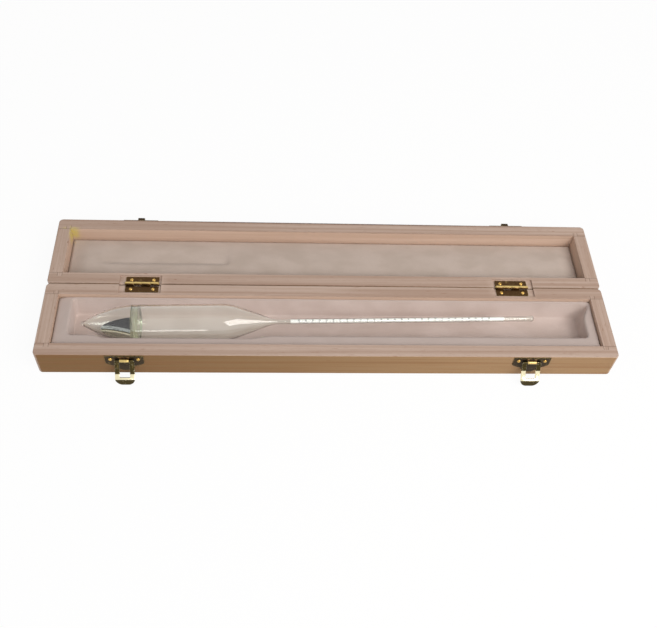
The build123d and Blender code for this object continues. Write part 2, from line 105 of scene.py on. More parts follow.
class Shader:
    """One procedural material, with short calls that add nodes and wire them."""

    def __init__(self, name: str) -> None:
        """Starts a material with a surface shader and the piece's own place.

        Args:
            name: The material's name.
        """
        self.material = bpy.data.materials.new(name)
        self.material.use_nodes = True
        self.tree = self.material.node_tree
        self.tree.nodes.clear()
        self.surface = self.node("ShaderNodeBsdfPrincipled")
        output = self.node("ShaderNodeOutputMaterial")
        self.wire(self.surface.outputs[0], output.inputs["Surface"])
        self.place = self.node("ShaderNodeTexCoord").outputs["Object"]

    def node(self, kind: str, **settings: object) -> bpy.types.Node:
        """Adds a node.

        Args:
            kind: The node's type name.
            **settings: Its attributes and their values.

        Returns:
            The new node.
        """
        made = self.tree.nodes.new(kind)
        for name, value in settings.items():
            setattr(made, name, value)
        return made

    def wire(self, source: Socket, target: Socket) -> None:
        """Links one socket to another."""
        self.tree.links.new(source, target)

    def feed(self, target: Socket, value: object) -> None:
        """Wires a socket in, or sets a plain value.

        Args:
            target: The input to fill.
            value: A socket, a number or a colour.
        """
        if isinstance(value, bpy.types.NodeSocket):
            self.wire(value, target)
        elif isinstance(value, tuple) and len(value) == 3 and target.type == "RGBA":
            target.default_value = (*value, 1.0)
        else:
            target.default_value = value

    def set(self, **values: object) -> None:
        """Sets the surface's own inputs, with underscores for the spaces in their names.

        Args:
            **values: A socket, number or colour for each input.
        """
        for name, value in values.items():
            self.feed(self.surface.inputs[name.replace("_", " ")], value)

    def stretched(self, size: Triple, shift: float = 0.0) -> Socket:
        """The piece's own place, counted in steps of a given size.

        Args:
            size: The step along X, Y and Z.
            shift: How far the pattern is moved along, so that boards differ.

        Returns:
            The scaled place.
        """
        mapping = self.node("ShaderNodeMapping", vector_type="POINT")
        self.wire(self.place, mapping.inputs["Vector"])
        mapping.inputs["Scale"].default_value = tuple(1 / step for step in size)
        mapping.inputs["Location"].default_value = (shift, shift * 1.7, shift * 0.6)
        return mapping.outputs["Vector"]

    def speckle(self, size: Triple, shift: float = 0.0, detail: float = 2.0, bend: float = 0.0) -> Socket:
        """Soft noise of a given size, around a half.

        Args:
            size: The size of its patches along X, Y and Z.
            shift: How far the pattern is moved along.
            detail: How many finer layers it has.
            bend: How far its patches wander.

        Returns:
            Its value, 0 to 1.
        """
        texture = self.node("ShaderNodeTexNoise", noise_dimensions="3D")
        self.wire(self.stretched(size, shift), texture.inputs["Vector"])
        texture.inputs["Scale"].default_value = 1.0
        texture.inputs["Detail"].default_value = detail
        texture.inputs["Distortion"].default_value = bend
        return texture.outputs["Fac"]

    def ramp(self, value: Socket, low: float, high: float, bottom: float = 0.0, top: float = 1.0) -> Socket:
        """A value taken from one range to another, softly and held at the ends.

        Args:
            value: What is measured.
            low: Where the change starts.
            high: Where it ends.
            bottom: The result at the start.
            top: The result at the end.

        Returns:
            The new value.
        """
        kept = self.node("ShaderNodeMapRange", interpolation_type="SMOOTHSTEP")
        self.wire(value, kept.inputs["Value"])
        kept.inputs["From Min"].default_value = low
        kept.inputs["From Max"].default_value = high
        kept.inputs["To Min"].default_value = bottom
        kept.inputs["To Max"].default_value = top
        return kept.outputs["Result"]

    def maths(self, kind: str, first: object, second: object) -> Socket:
        """Plain arithmetic on two values.

        Args:
            kind: The operation, such as MULTIPLY.
            first: A socket or number.
            second: A socket or number.

        Returns:
            The result.
        """
        step = self.node("ShaderNodeMath", operation=kind)
        self.feed(step.inputs[0], first)
        self.feed(step.inputs[1], second)
        return step.outputs[0]

    def mix(self, share: object, under: object, over: object, blend: str = "MIX") -> Socket:
        """One colour laid over another.

        Args:
            share: How much of the upper colour shows.
            under: The lower colour.
            over: The upper colour.
            blend: How they meet.

        Returns:
            The mixed colour.
        """
        mixer = self.node("ShaderNodeMix", data_type="RGBA", blend_type=blend)
        self.feed(mixer.inputs["Factor"], share)
        self.feed(mixer.inputs[6], under)
        self.feed(mixer.inputs[7], over)
        return mixer.outputs[2]

    def lay(self, pattern: Socket, layer: Layer, under: object, over: object) -> Socket:
        """Lays a colour over another where a pattern is strong.

        Args:
            pattern: The pattern.
            layer: Where it starts to show, and how much.
            under: The lower colour.
            over: The upper colour.

        Returns:
            The mixed colour.
        """
        return self.mix(self.ramp(pattern, layer.start, layer.full, 0.0, layer.most), under, over)

    def axes(self) -> tuple[Socket, Socket, Socket]:
        """The piece's own X, Y and Z."""
        split = self.node("ShaderNodeSeparateXYZ")
        self.wire(self.place, split.inputs[0])
        return split.outputs[0], split.outputs[1], split.outputs[2]

    def relief(self, height: Socket, depth: float, strength: float = 1.0) -> None:
        """Adds fine relief to the surface, on top of any that is there.

        Args:
            height: The height pattern, 0 to 1.
            depth: How tall it stands.
            strength: How much of it shows.
        """
        bump = self.node("ShaderNodeBump")
        bump.inputs["Strength"].default_value = strength
        bump.inputs["Distance"].default_value = depth
        self.wire(height, bump.inputs["Height"])
        before = self.surface.inputs["Normal"]
        if before.links:
            self.wire(before.links[0].from_socket, bump.inputs["Normal"])
        self.wire(bump.outputs[0], before)

    def near(self, value: Socket, middle: float, half: float, soft: float) -> Socket:
        """How near a value is to a line, 1 on it and 0 off it.

        Args:
            value: What is measured.
            middle: The line.
            half: Half the line's width.
            soft: How softly it fades.

        Returns:
            The line's strength.
        """
        off = self.maths("ABSOLUTE", self.maths("SUBTRACT", value, middle), 0.0)
        return self.ramp(off, half, half + soft, 1.0, 0.0)


@dataclass(frozen=True)
class Stain:
    """A soft patch of another colour on a board."""

    middle: Triple
    reach: Triple
    colour: Colour
    strength: float = 0.8


@dataclass(frozen=True)
class SandedWood:
    """Pale sanded softwood with a bare rim. Its outer faces are painted a darker, warmer amber as painted
    shade and warm bounce light, and its inner walls are painted lighter as painted light.
    """

    name: str
    grain: Grain
    front: float
    back: float
    shift: float = 0.0
    end: float = 0.2
    pale: Colour = paint(190, 168, 154)
    dark: Colour = paint(166, 140, 124)
    fleck: Colour = paint(136, 96, 74)
    inner_wall_light: Colour = paint(218, 188, 166)
    outer_shade_deep: Colour = paint(114, 84, 45)
    outer_shade_pale: Colour = paint(150, 119, 84)
    streak: Colour = paint(122, 78, 42)
    wall: float = 9.5 * MM
    rim: float = 21.5 * MM
    skin: float = 0.35 * MM
    joint_line: float = 0.09 * MM
    joint_share: float = 0.75
    joint_colour: Colour = paint(70, 48, 36)
    tongue_width: float = 3.2 * MM
    tongue_length: float = 3.0 * MM
    band_size: tuple[float, float] = (340 * MM, 4.2 * MM)
    line_size: tuple[float, float] = (70 * MM, 0.7 * MM)
    pore_size: tuple[float, float] = (6 * MM, 0.2 * MM)
    drift_size: tuple[float, float] = (120 * MM, 30 * MM)
    mark_size: tuple[float, float] = (12 * MM, 1.6 * MM)
    dark_bands: Layer = Layer(0.40, 0.66)
    dark_lines: Layer = Layer(0.45, 0.72, 0.5)
    dark_drift: Layer = Layer(0.35, 0.75, 0.35)
    open_pores: Layer = Layer(0.64, 0.74, 0.5)
    brown_marks: Layer = Layer(0.69, 0.76, 0.7)
    outer_light_fade: Layer = Layer(-200 * MM, 160 * MM)
    outer_bands: Layer = Layer(0.46, 0.66, 0.4)
    outer_lines: Layer = Layer(0.5, 0.75, 0.35)
    outer_marks: Layer = Layer(0.70, 0.78, 0.8)
    stain_grain: float = 2.0 * MM
    stains: tuple[Stain, ...] = ()

    def size(self, along: float, across: float) -> Triple:
        """The size of a pattern that is stretched along the grain."""
        if self.grain is Grain.ALONG_CASE:
            return (along, across, across)
        return (across, along, across)

    def outside(self, shader: Shader) -> Socket:
        """How far a place lies on the outer faces, which carry painted shade.

        Args:
            shader: The material being made.

        Returns:
            1 on an outer face, 0 on the rim and inside.
        """
        along, across, up = shader.axes()
        ends = shader.ramp(shader.maths("ABSOLUTE", along, 0.0), self.end - self.skin, self.end)
        front = shader.ramp(across, self.front, self.front + self.skin, 1.0, 0.0)
        back = shader.ramp(across, self.back - self.skin, self.back)
        under = shader.ramp(up, 0.0, self.skin, 1.0, 0.0)
        sides = shader.maths("MAXIMUM", front, back)
        return shader.maths("MAXIMUM", sides, shader.maths("MAXIMUM", ends, under))

    def inside(self, shader: Shader) -> Socket:
        """How far a place lies on the inner walls below the rim, which carry painted light.

        Args:
            shader: The material being made.

        Returns:
            1 on an inner wall, 0 on the rim and outside.
        """
        along, across, up = shader.axes()
        near_wall = self.wall - 2 * self.skin
        far = shader.maths("ABSOLUTE", along, 0.0)
        ends = shader.ramp(far, self.end - self.wall, self.end - near_wall, 1.0, 0.0)
        front = shader.ramp(across, self.front + near_wall, self.front + self.wall)
        back = shader.ramp(across, self.back - self.wall, self.back - near_wall, 1.0, 0.0)
        sides = shader.maths("MULTIPLY", front, back)
        inner = sides if self.grain is Grain.ALONG_CASE else ends
        return shader.maths("MULTIPLY", inner, shader.ramp(up, self.rim - 2 * self.skin, self.rim, 1.0, 0.0))

    def joints(self, shader: Shader) -> Socket:
        """The thin dark lines where boards meet, seen on the rim.

        Args:
            shader: The material being made.

        Returns:
            1 on a line.
        """
        line = self.joint_line
        inner_end = self.end - self.wall
        inner_side = (self.back - self.front) / 2 - self.wall
        tongue_end = inner_side + self.tongue_length
        along, across, _ = shader.axes()
        far = shader.maths("ABSOLUTE", along, 0.0)
        off_middle = shader.maths("SUBTRACT", across, (self.front + self.back) / 2)
        side = shader.maths("ABSOLUTE", off_middle, 0.0)
        in_wall = shader.ramp(far, inner_end - line, inner_end)
        seam = shader.maths("MULTIPLY", shader.near(side, inner_side, line, line), in_wall)
        past = shader.ramp(side, inner_side, inner_side + line)
        before = shader.ramp(side, tongue_end, tongue_end + line, 1.0, 0.0)
        inner_cheek = shader.near(far, inner_end, line, line)
        outer_cheek = shader.near(far, inner_end + self.tongue_width, line, line)
        cheeks = shader.maths("MAXIMUM", inner_cheek, outer_cheek)
        slot = shader.maths("MULTIPLY", cheeks, shader.maths("MULTIPLY", past, before))
        return shader.maths("MAXIMUM", seam, slot)

    def material(self) -> bpy.types.Material:
        """The finished wood."""
        shader = Shader(self.name)
        bands = shader.speckle(self.size(*self.band_size), self.shift, 3.0, 0.5)
        lines = shader.speckle(self.size(*self.line_size), self.shift + 3, 2.0, 0.3)
        pores = shader.speckle(self.size(*self.pore_size), self.shift + 7, 1.0)
        drift = shader.speckle(self.size(*self.drift_size), self.shift + 11, 1.0)
        marks = shader.speckle(self.size(*self.mark_size), self.shift + 17, 2.0, 0.4)
        colour = shader.lay(bands, self.dark_bands, self.pale, self.dark)
        colour = shader.lay(lines, self.dark_lines, colour, self.dark)
        colour = shader.lay(drift, self.dark_drift, colour, self.dark)
        colour = shader.lay(pores, self.open_pores, colour, self.fleck)
        colour = shader.lay(marks, self.brown_marks, colour, self.fleck)
        # Painted light: the inner walls below the rim are lifted halfway towards a lighter colour for the
        # light they catch.
        colour = shader.mix(self.inside(shader), colour, shader.mix(0.5, self.inner_wall_light, colour))
        # Painted shade on the outer faces: a darker, warmer amber that grows darker towards the left end,
        # partly painted light falloff from the right and partly board tone.
        outer_shade = shader.lay(shader.axes()[0], self.outer_light_fade, self.outer_shade_deep, self.outer_shade_pale)
        outer_shade = shader.lay(bands, self.outer_bands, outer_shade, self.streak)
        outer_shade = shader.lay(lines, self.outer_lines, outer_shade, self.streak)
        outer_shade = shader.lay(marks, self.outer_marks, outer_shade, self.streak)
        colour = shader.mix(self.outside(shader), colour, outer_shade)
        for stain in self.stains:
            colour = shader.mix(self.patch(shader, stain), colour, stain.colour)
        joints = shader.maths("MULTIPLY", self.joints(shader), self.joint_share)
        colour = shader.mix(joints, colour, self.joint_colour)
        shader.set(Base_Color=colour, Specular_IOR_Level=0.32)
        shader.set(Roughness=shader.ramp(lines, 0.3, 0.8, 0.56, 0.72))
        shader.relief(bands, 0.05 * MM, 0.5)
        shader.relief(lines, 0.03 * MM, 0.7)
        shader.relief(shader.ramp(pores, 0.6, 0.72, 1.0, 0.0), 0.03 * MM, 0.6)
        return shader.material

    def patch(self, shader: Shader, stain: Stain) -> Socket:
        """Where a stain lies.

        Args:
            shader: The material being made.
            stain: The stain's middle, reach and strength.

        Returns:
            Its strength, 0 away from it.
        """
        found = stain.strength
        for value, middle, reach in zip(shader.axes(), stain.middle, stain.reach):
            found = shader.maths("MULTIPLY", found, shader.near(value, middle, reach * 0.35, reach))
        rough = shader.speckle((self.stain_grain,) * 3, self.shift, 2.0)
        return shader.maths("MULTIPLY", found, shader.ramp(rough, 0.3, 0.6, 0.55, 1.0))


@dataclass(frozen=True)
class BrushedCloth:
    """Soft brushed lining cloth with a short nap and a few specks of lint."""

    name: str
    base: Colour
    worn: Colour
    speck: Colour = paint(150, 132, 120)
    margin: Colour = paint(178, 164, 158)
    margin_height: float = 1.0
    margin_soft: float = 1.2 * MM
    cloud_size: Triple = (20 * MM, 12 * MM, 20 * MM)
    nap_size: Triple = (2.2 * MM, 0.7 * MM, 0.9 * MM)
    thread_size: Triple = (0.35 * MM, 0.22 * MM, 0.3 * MM)
    lint_size: Triple = (0.9 * MM, 1.6 * MM, 1.2 * MM)
    worn_clouds: Layer = Layer(0.35, 0.68)
    worn_nap: Layer = Layer(0.45, 0.75, 0.35)
    dark_threads: Layer = Layer(0.3, 0.75, 0.16)
    dark_lint: Layer = Layer(0.76, 0.82, 0.4)

    def material(self) -> bpy.types.Material:
        """The finished cloth."""
        shader = Shader(self.name)
        clouds = shader.speckle(self.cloud_size, 2.0, 2.0)
        nap = shader.speckle(self.nap_size, 5.0, 3.0, 0.4)
        threads = shader.speckle(self.thread_size, 9.0, 1.0)
        lint = shader.speckle(self.lint_size, 13.0, 1.0)
        colour = shader.lay(clouds, self.worn_clouds, self.base, self.worn)
        colour = shader.lay(nap, self.worn_nap, colour, self.worn)
        colour = shader.lay(threads, self.dark_threads, colour, self.speck)
        colour = shader.lay(lint, self.dark_lint, colour, self.speck)
        # Painted shade: the flat top margins of the lining are laid darker than the pocket below them.
        on_shaded_margin = Layer(self.margin_height - self.margin_soft, self.margin_height, 0.85)
        margin_shaded = shader.mix(0.85, colour, self.margin)
        colour = shader.lay(shader.axes()[2], on_shaded_margin, colour, margin_shaded)
        shader.set(Base_Color=colour, Roughness=0.92, Specular_IOR_Level=0.2)
        shader.set(Sheen_Weight=0.25, Sheen_Roughness=0.5)
        shader.relief(nap, 0.12 * MM, 0.5)
        shader.relief(threads, 0.06 * MM, 0.6)
        return shader.material


@dataclass(frozen=True)
class OpenFoam:
    """Open cream foam with fine pores."""

    name: str = "open_foam"
    base: Colour = paint(214, 206, 186)
    pore: Colour = paint(150, 138, 112)
    cell: float = 0.6 * MM

    def material(self) -> bpy.types.Material:
        """The finished foam."""
        shader = Shader(self.name)
        cells = shader.node("ShaderNodeTexVoronoi", feature="F1")
        shader.wire(shader.stretched((self.cell,) * 3), cells.inputs["Vector"])
        cells.inputs["Scale"].default_value = 1.0
        near = shader.ramp(cells.outputs["Distance"], 0.1, 0.55)
        shader.set(Base_Color=shader.mix(near, self.pore, self.base), Roughness=0.95)
        shader.relief(near, 0.15 * MM, 0.8)
        return shader.material


@dataclass(frozen=True)
class AgedBrass:
    """Brass under a dark antique coat, rubbed bright along its edges, and made bright inside an optional box.
    """

    name: str
    coat: Colour
    bright: Colour
    rub: float = 0.8
    edge: float = 0.28 * MM
    rough: float = 0.34
    bright_box_low: Triple = (0.0, 0.0, 0.0)
    bright_box_high: Triple = (0.0, 0.0, 0.0)
    bright_box_soft: float = 0.25 * MM
    patch_size: float = 1.6 * MM
    scratch_size: Triple = (4 * MM, 0.3 * MM, 0.3 * MM)

    def material(self) -> bpy.types.Material:
        """The finished metal."""
        shader = Shader(self.name)
        soft = shader.node("ShaderNodeBevel", samples=4)
        soft.inputs["Radius"].default_value = self.edge
        plain = shader.node("ShaderNodeNewGeometry").outputs["Normal"]
        dot = shader.node("ShaderNodeVectorMath", operation="DOT_PRODUCT")
        shader.wire(soft.outputs[0], dot.inputs[0])
        shader.wire(plain, dot.inputs[1])
        edges = shader.ramp(dot.outputs["Value"], 0.86, 0.995, 1.0, 0.0)
        patches = shader.speckle((self.patch_size,) * 3, 4.0, 3.0, 0.6)
        scratches = shader.speckle(self.scratch_size, 8.0, 2.0)
        worn = shader.maths("MULTIPLY", edges, shader.ramp(patches, 0.3, 0.6, 0.35, 1.0))
        worn = shader.maths("MULTIPLY", worn, self.rub)
        worn = shader.maths("MAXIMUM", worn, shader.ramp(patches, 0.60, 0.78, 0.0, self.rub * 0.5))
        worn = shader.maths("MAXIMUM", worn, shader.ramp(scratches, 0.70, 0.80, 0.0, self.rub * 0.5))
        # The bright box: painted highlight on the hinge knuckles and the loops' bars.
        if self.bright_box_high != self.bright_box_low:
            worn = shader.maths("MAXIMUM", worn, self.bright_box(shader))
        shader.set(Base_Color=shader.mix(worn, self.coat, self.bright), Metallic=1.0)
        shader.set(Roughness=shader.ramp(patches, 0.3, 0.7, self.rough - 0.08, self.rough + 0.1))
        shader.relief(patches, 0.03 * MM, 0.5)
        shader.relief(scratches, 0.01 * MM, 0.4)
        return shader.material

    def bright_box(self, shader: Shader) -> Socket:
        """Where the metal is made bright, between two corners of a box: a painted highlight on the hinge
        knuckles and the loops' bars, and a bright patch on the latch tongues.

        Args:
            shader: The material being made.

        Returns:
            1 where it is polished.
        """
        found = 1.0
        for value, low, high in zip(shader.axes(), self.bright_box_low, self.bright_box_high):
            inside = shader.near(value, (low + high) / 2, (high - low) / 2, self.bright_box_soft)
            found = shader.maths("MULTIPLY", inside, found)
        return found


@dataclass(frozen=True)
class BlownGlass:
    """Clear blown glass with a faint green cast and slight waves."""

    name: str
    cast: Colour
    wave: float = 0.02 * MM
    index: float = 1.5
    wave_size: Triple = (12 * MM, 6 * MM, 6 * MM)

    def material(self) -> bpy.types.Material:
        """The finished glass."""
        shader = Shader(self.name)
        shader.set(Base_Color=self.cast, Roughness=0.0, IOR=self.index, Transmission_Weight=1.0)
        shader.relief(shader.speckle(self.wave_size, 3.0, 1.0), self.wave, 0.6)
        return shader.material


@dataclass(frozen=True)
class BallastMetal:
    """Bright metal whose level top is painted as a dark mirror: its dark colour and the frost, moss, cream and
    dull bands across it are painted reflections.
    """

    place: Matrix
    start: float
    level: float
    name: str = "ballast_metal"
    bright: Colour = paint(224, 212, 198)
    dull: Colour = paint(120, 108, 96)
    # Painted dark reflection: the colour of the level top.
    skin: Colour = paint(38, 35, 37)
    frost_reflection: Colour = paint(158, 158, 156)
    moss_reflection: Colour = paint(74, 72, 50)
    cream: Colour = paint(190, 178, 160)
    reflection_sweep: float = 9.2
    streak_size: Triple = (20 * MM, 1.0 * MM, 1.2 * MM)
    cloud_size: Triple = (3 * MM, 0.8 * MM, 1.0 * MM)
    frost_reflection_band: Triple = (1.3 * MM, 1.0 * MM, 0.8 * MM)
    moss_reflection_edge: tuple[float, float] = (-0.3 * MM, -0.6 * MM)
    cream_reflection_band: Triple = (-1.7 * MM, 0.4 * MM, 0.5 * MM)
    dull_reflection_edge: tuple[float, float] = (-2.2 * MM, -2.8 * MM)
    top_reflection_edge: tuple[float, float] = (-0.2 * MM, -0.05 * MM)

    def material(self) -> bpy.types.Material:
        """The finished metal."""
        shader = Shader(self.name)
        lying = shader.node("ShaderNodeMapping", vector_type="TEXTURE")
        shader.wire(shader.place, lying.inputs["Vector"])
        lying.inputs["Location"].default_value = self.place.to_translation()
        lying.inputs["Rotation"].default_value = self.place.to_euler()
        shader.place = lying.outputs["Vector"]
        along, across, height = shader.axes()
        streaks = shader.speckle(self.streak_size, 2.0, 2.0, 0.8)
        side = shader.mix(shader.ramp(streaks, 0.44, 0.56), self.bright, self.dull)
        run = shader.maths("SUBTRACT", along, self.start)
        bend = shader.maths("MULTIPLY", shader.maths("MULTIPLY", run, run), self.reflection_sweep)
        line = shader.maths("ADD", across, bend)
        clouds = shader.speckle(self.cloud_size, 6.0, 2.0, 0.5)
        # Painted reflections on the level top: a dark mirror colour with frost, moss, cream and dull bands
        # that follow a curved line.
        top = shader.mix(shader.near(line, *self.frost_reflection_band), self.skin, self.frost_reflection)
        top = shader.mix(shader.ramp(clouds, 0.5, 0.6, 0.0, 0.6), top, self.skin)
        top = shader.mix(shader.ramp(line, *self.moss_reflection_edge), top, self.moss_reflection)
        top = shader.mix(shader.near(line, *self.cream_reflection_band), top, self.cream)
        top = shader.mix(shader.ramp(line, *self.dull_reflection_edge), top, self.dull)
        level = shader.ramp(height, self.level + self.top_reflection_edge[0], self.level + self.top_reflection_edge[1])
        shader.set(Base_Color=shader.mix(level, side, top), Metallic=1.0)
        shader.set(Roughness=shader.ramp(streaks, 0.3, 0.7, 0.10, 0.22))
        return shader.material


@dataclass(frozen=True)
class FlatFinish:
    """A plain matt material with a fine tooth, for paper and ink."""

    name: str
    base: Colour
    other: Colour
    rough: float = 0.8
    tooth: float = 0.4 * MM

    def material(self) -> bpy.types.Material:
        """The finished surface."""
        shader = Shader(self.name)
        tooth = shader.speckle((self.tooth,) * 3, 1.0, 2.0)
        shader.set(Base_Color=shader.mix(shader.ramp(tooth, 0.4, 0.7), self.base, self.other))
        shader.set(Roughness=self.rough)
        return shader.material


def piece(name: str, points: list, faces: list, smooth: bool = True) -> bpy.types.Object:
    """Makes a mesh piece.

    Args:
        name: The piece's name.
        points: Its corners.
        faces: The corner numbers of each face.
        smooth: Whether its faces shade as one curved surface.

    Returns:
        The new object.
    """
    mesh = bpy.data.meshes.new(name)
    mesh.from_pydata([tuple(point) for point in points], [], faces)
    mesh.validate()
    skin = bmesh.new()
    skin.from_mesh(mesh)
    bmesh.ops.remove_doubles(skin, verts=skin.verts, dist=0.002 * MM)
    bmesh.ops.dissolve_degenerate(skin, edges=skin.edges, dist=0.001 * MM)
    skin.to_mesh(mesh)
    skin.free()
    mesh.polygons.foreach_set("use_smooth", [smooth] * len(mesh.polygons))
    made = bpy.data.objects.new(name, mesh)
    bpy.context.scene.collection.objects.link(made)
    return made


def ring_faces(rows: int, columns: int, closed: bool, start: int = 0, flip: bool = False) -> list:
    """The quads that join rows of points.

    Args:
        rows: How many rows there are.
        columns: How many points a row has.
        closed: Whether each row is a ring.
        start: The number of the first point.
        flip: Whether the faces look the other way.

    Returns:
        The faces.
    """
    faces = []
    for row in range(rows - 1):
        for column in range(columns if closed else columns - 1):
            after = (column + 1) % columns
            corner = start + row * columns
            quad = [corner + column, corner + after, corner + columns + after, corner + columns + column]
            faces.append(quad[::-1] if flip else quad)
    return faces


def revolve(profile: list, place: Matrix, steps: int) -> list:
    """The points of a profile turned about the X axis.

    Args:
        profile: Pairs of a place along X and a radius, in millimetres.
        place: Where the turned shape goes.
        steps: How many points a ring has.

    Returns:
        The points, ring by ring.
    """
    points = []
    for along, radius in profile:
        for step in range(steps):
            angle = 2 * math.pi * step / steps
            points.append(place @ (Vector((along, radius * math.cos(angle), radius * math.sin(angle))) * MM))
    return points


def finish(made: bpy.types.Object, material: bpy.types.Material, body: str) -> bpy.types.Object:
    """Dresses a piece and sets it on its body.

    Args:
        made: The piece.
        material: Its finish.
        body: The body that carries it.

    Returns:
        The piece.
    """
    made.data.materials.clear()
    made.data.materials.append(material)
    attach(made, body)
    return made


def dress(node: str, material: bpy.types.Material, ease: float = 0.0) -> None:
    """Gives a solid its finish, and eases its sharp edges.

    Args:
        node: The solid's name.
        material: Its finish.
        ease: The width of the eased edge, or 0 for none.
    """
    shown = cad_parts[node]
    shown.data.materials.clear()
    shown.data.materials.append(material)
    if ease > 0:
        weld = shown.modifiers.new("joined", "WELD")
        weld.merge_threshold = WELD_REACH
        bevel = shown.modifiers.new("eased", "BEVEL")
        bevel.width = ease
        bevel.segments = 2
        bevel.limit_method = "ANGLE"
        bevel.angle_limit = SHARP_ANGLE
        bevel.harden_normals = True


def wave(x: float, y: float, z: float, size: float, seed: float) -> float:
    """Smooth noise at a place.

    Args:
        x: The place along X, in millimetres.
        y: The place along Y.
        z: The place along Z.
        size: How large its waves are, in millimetres.
        seed: Which pattern it is.

    Returns:
        A value from about -1 to 1.
    """
    return noise.noise(Vector((x / size + seed, y / size - seed, z / size + 2 * seed)))


def smooth_step(value: float, low: float, high: float) -> float:
    """A soft change from 0 at low to 1 at high."""
    share = min(1.0, max(0.0, (value - low) / (high - low)))
    return share * share * (3 - 2 * share)


@dataclass
class Case:
    """The wooden base and lid: rails, end boards and thin panels."""

    base_front: float = -30.4 * MM
    base_back: float = 30.4 * MM
    lid_front: float = 30.7 * MM
    lid_back: float = 91.5 * MM
    ease: float = 0.18 * MM
    rim: float = 21.5 * MM
    latches: tuple[float, float] = (-140.1 * MM, 138.8 * MM)
    hinges: tuple[float, float] = (-133.4 * MM, 133.4 * MM)
    glue_corner: Triple = (-190.5 * MM, 82.0 * MM, 17.0 * MM)
    glue_on_rail: Triple = (6 * MM, 2 * MM, 6 * MM)
    glue_on_end: Triple = (1 * MM, 8 * MM, 6 * MM)
    dark_edge_reach: Triple = (130 * MM, 1.2 * MM, 1.2 * MM)
    hollow_shade_height: float = 18.3 * MM
    hollow_shade_reach: Triple = (2.6 * MM, 1.2 * MM, 2.2 * MM)
    seam_shade_place: Triple = (0.0, 30.55 * MM, 12 * MM)
    seam_shade_reach: Triple = (300 * MM, 0.9 * MM, 10 * MM)
    mortise_light_height: float = 20.5 * MM
    mortise_light_reach: Triple = (14.5 * MM, 8.5 * MM, 2.2 * MM)

    def wood(self, node: str, grain: Grain, shift: float, stains: tuple[Stain, ...] = ()) -> SandedWood:
        """The finish of one board.

        Args:
            node: The board's name.
            grain: Which way its grain runs.
            shift: Where its figure starts.
            stains: The marks on it.

        Returns:
            The board's own wood.
        """
        in_lid = node.startswith("lid")
        front = self.lid_front if in_lid else self.base_front
        back = self.lid_back if in_lid else self.base_back
        return SandedWood(f"wood_{node}", grain, front, back, shift, stains=stains)

    def marks(self) -> dict[str, tuple[Stain, ...]]:
        """The glue, a dark line along the lid's back edge, the painted shade in the latch hollows and in the
        gap between the halves, and the painted light on the hinge mortises, that show on single boards.
        """
        glue = paint(206, 190, 96)
        # A dark line painted along the lid's back top edge.
        dark_edge_place = (0.0, self.lid_back, self.rim)
        dark_back_edge = Stain(dark_edge_place, self.dark_edge_reach, paint(50, 38, 36), 0.9)
        # Painted shade: near-black patches on the front rail at the latches stand for the depth of the hollows
        # there.
        hollow_shade = tuple(
            Stain((x, self.base_front, self.hollow_shade_height), self.hollow_shade_reach, paint(26, 18, 14), 1.0)
            for x in self.latches
        )
        # Painted shade: a dark band on both hinge rails stands for the shadowed gap between base and lid.
        seam = Stain(self.seam_shade_place, self.seam_shade_reach, paint(84, 62, 48), 1.0)
        # Painted light: pale patches round the hinge mortises stand for light on the recess walls; the band on
        # the seam is painted shade.
        hinge_rail_light_and_shade = (seam,) + tuple(
            Stain((x, self.base_back, self.mortise_light_height), self.mortise_light_reach, paint(216, 194, 178), 0.9)
            for x in self.hinges
        )
        return {
            "base_front_rail": hollow_shade,
            "base_hinge_rail": hinge_rail_light_and_shade,
            "lid_hinge_rail": hinge_rail_light_and_shade,
            "lid_front_rail": (Stain(self.glue_corner, self.glue_on_rail, glue, 0.8), dark_back_edge),
            "lid_left_end": (Stain(self.glue_corner, self.glue_on_end, glue, 0.8),),
        }

    def build(self) -> None:
        """Dresses every board."""
        marks = self.marks()
        for half in ("base", "lid"):
            rails = ("front_rail", "hinge_rail")
            for number, name in enumerate(rails + ("left_end", "right_end", "panel")):
                node = f"{half}_{name}"
                grain = Grain.ACROSS_CASE if name.endswith("end") else Grain.ALONG_CASE
                shift = number * 5.3 + (31.0 if half == "lid" else 0.0)
                dress(node, self.wood(node, grain, shift, marks.get(node, ())).material(), self.ease)
        log.info("case: boards dressed")


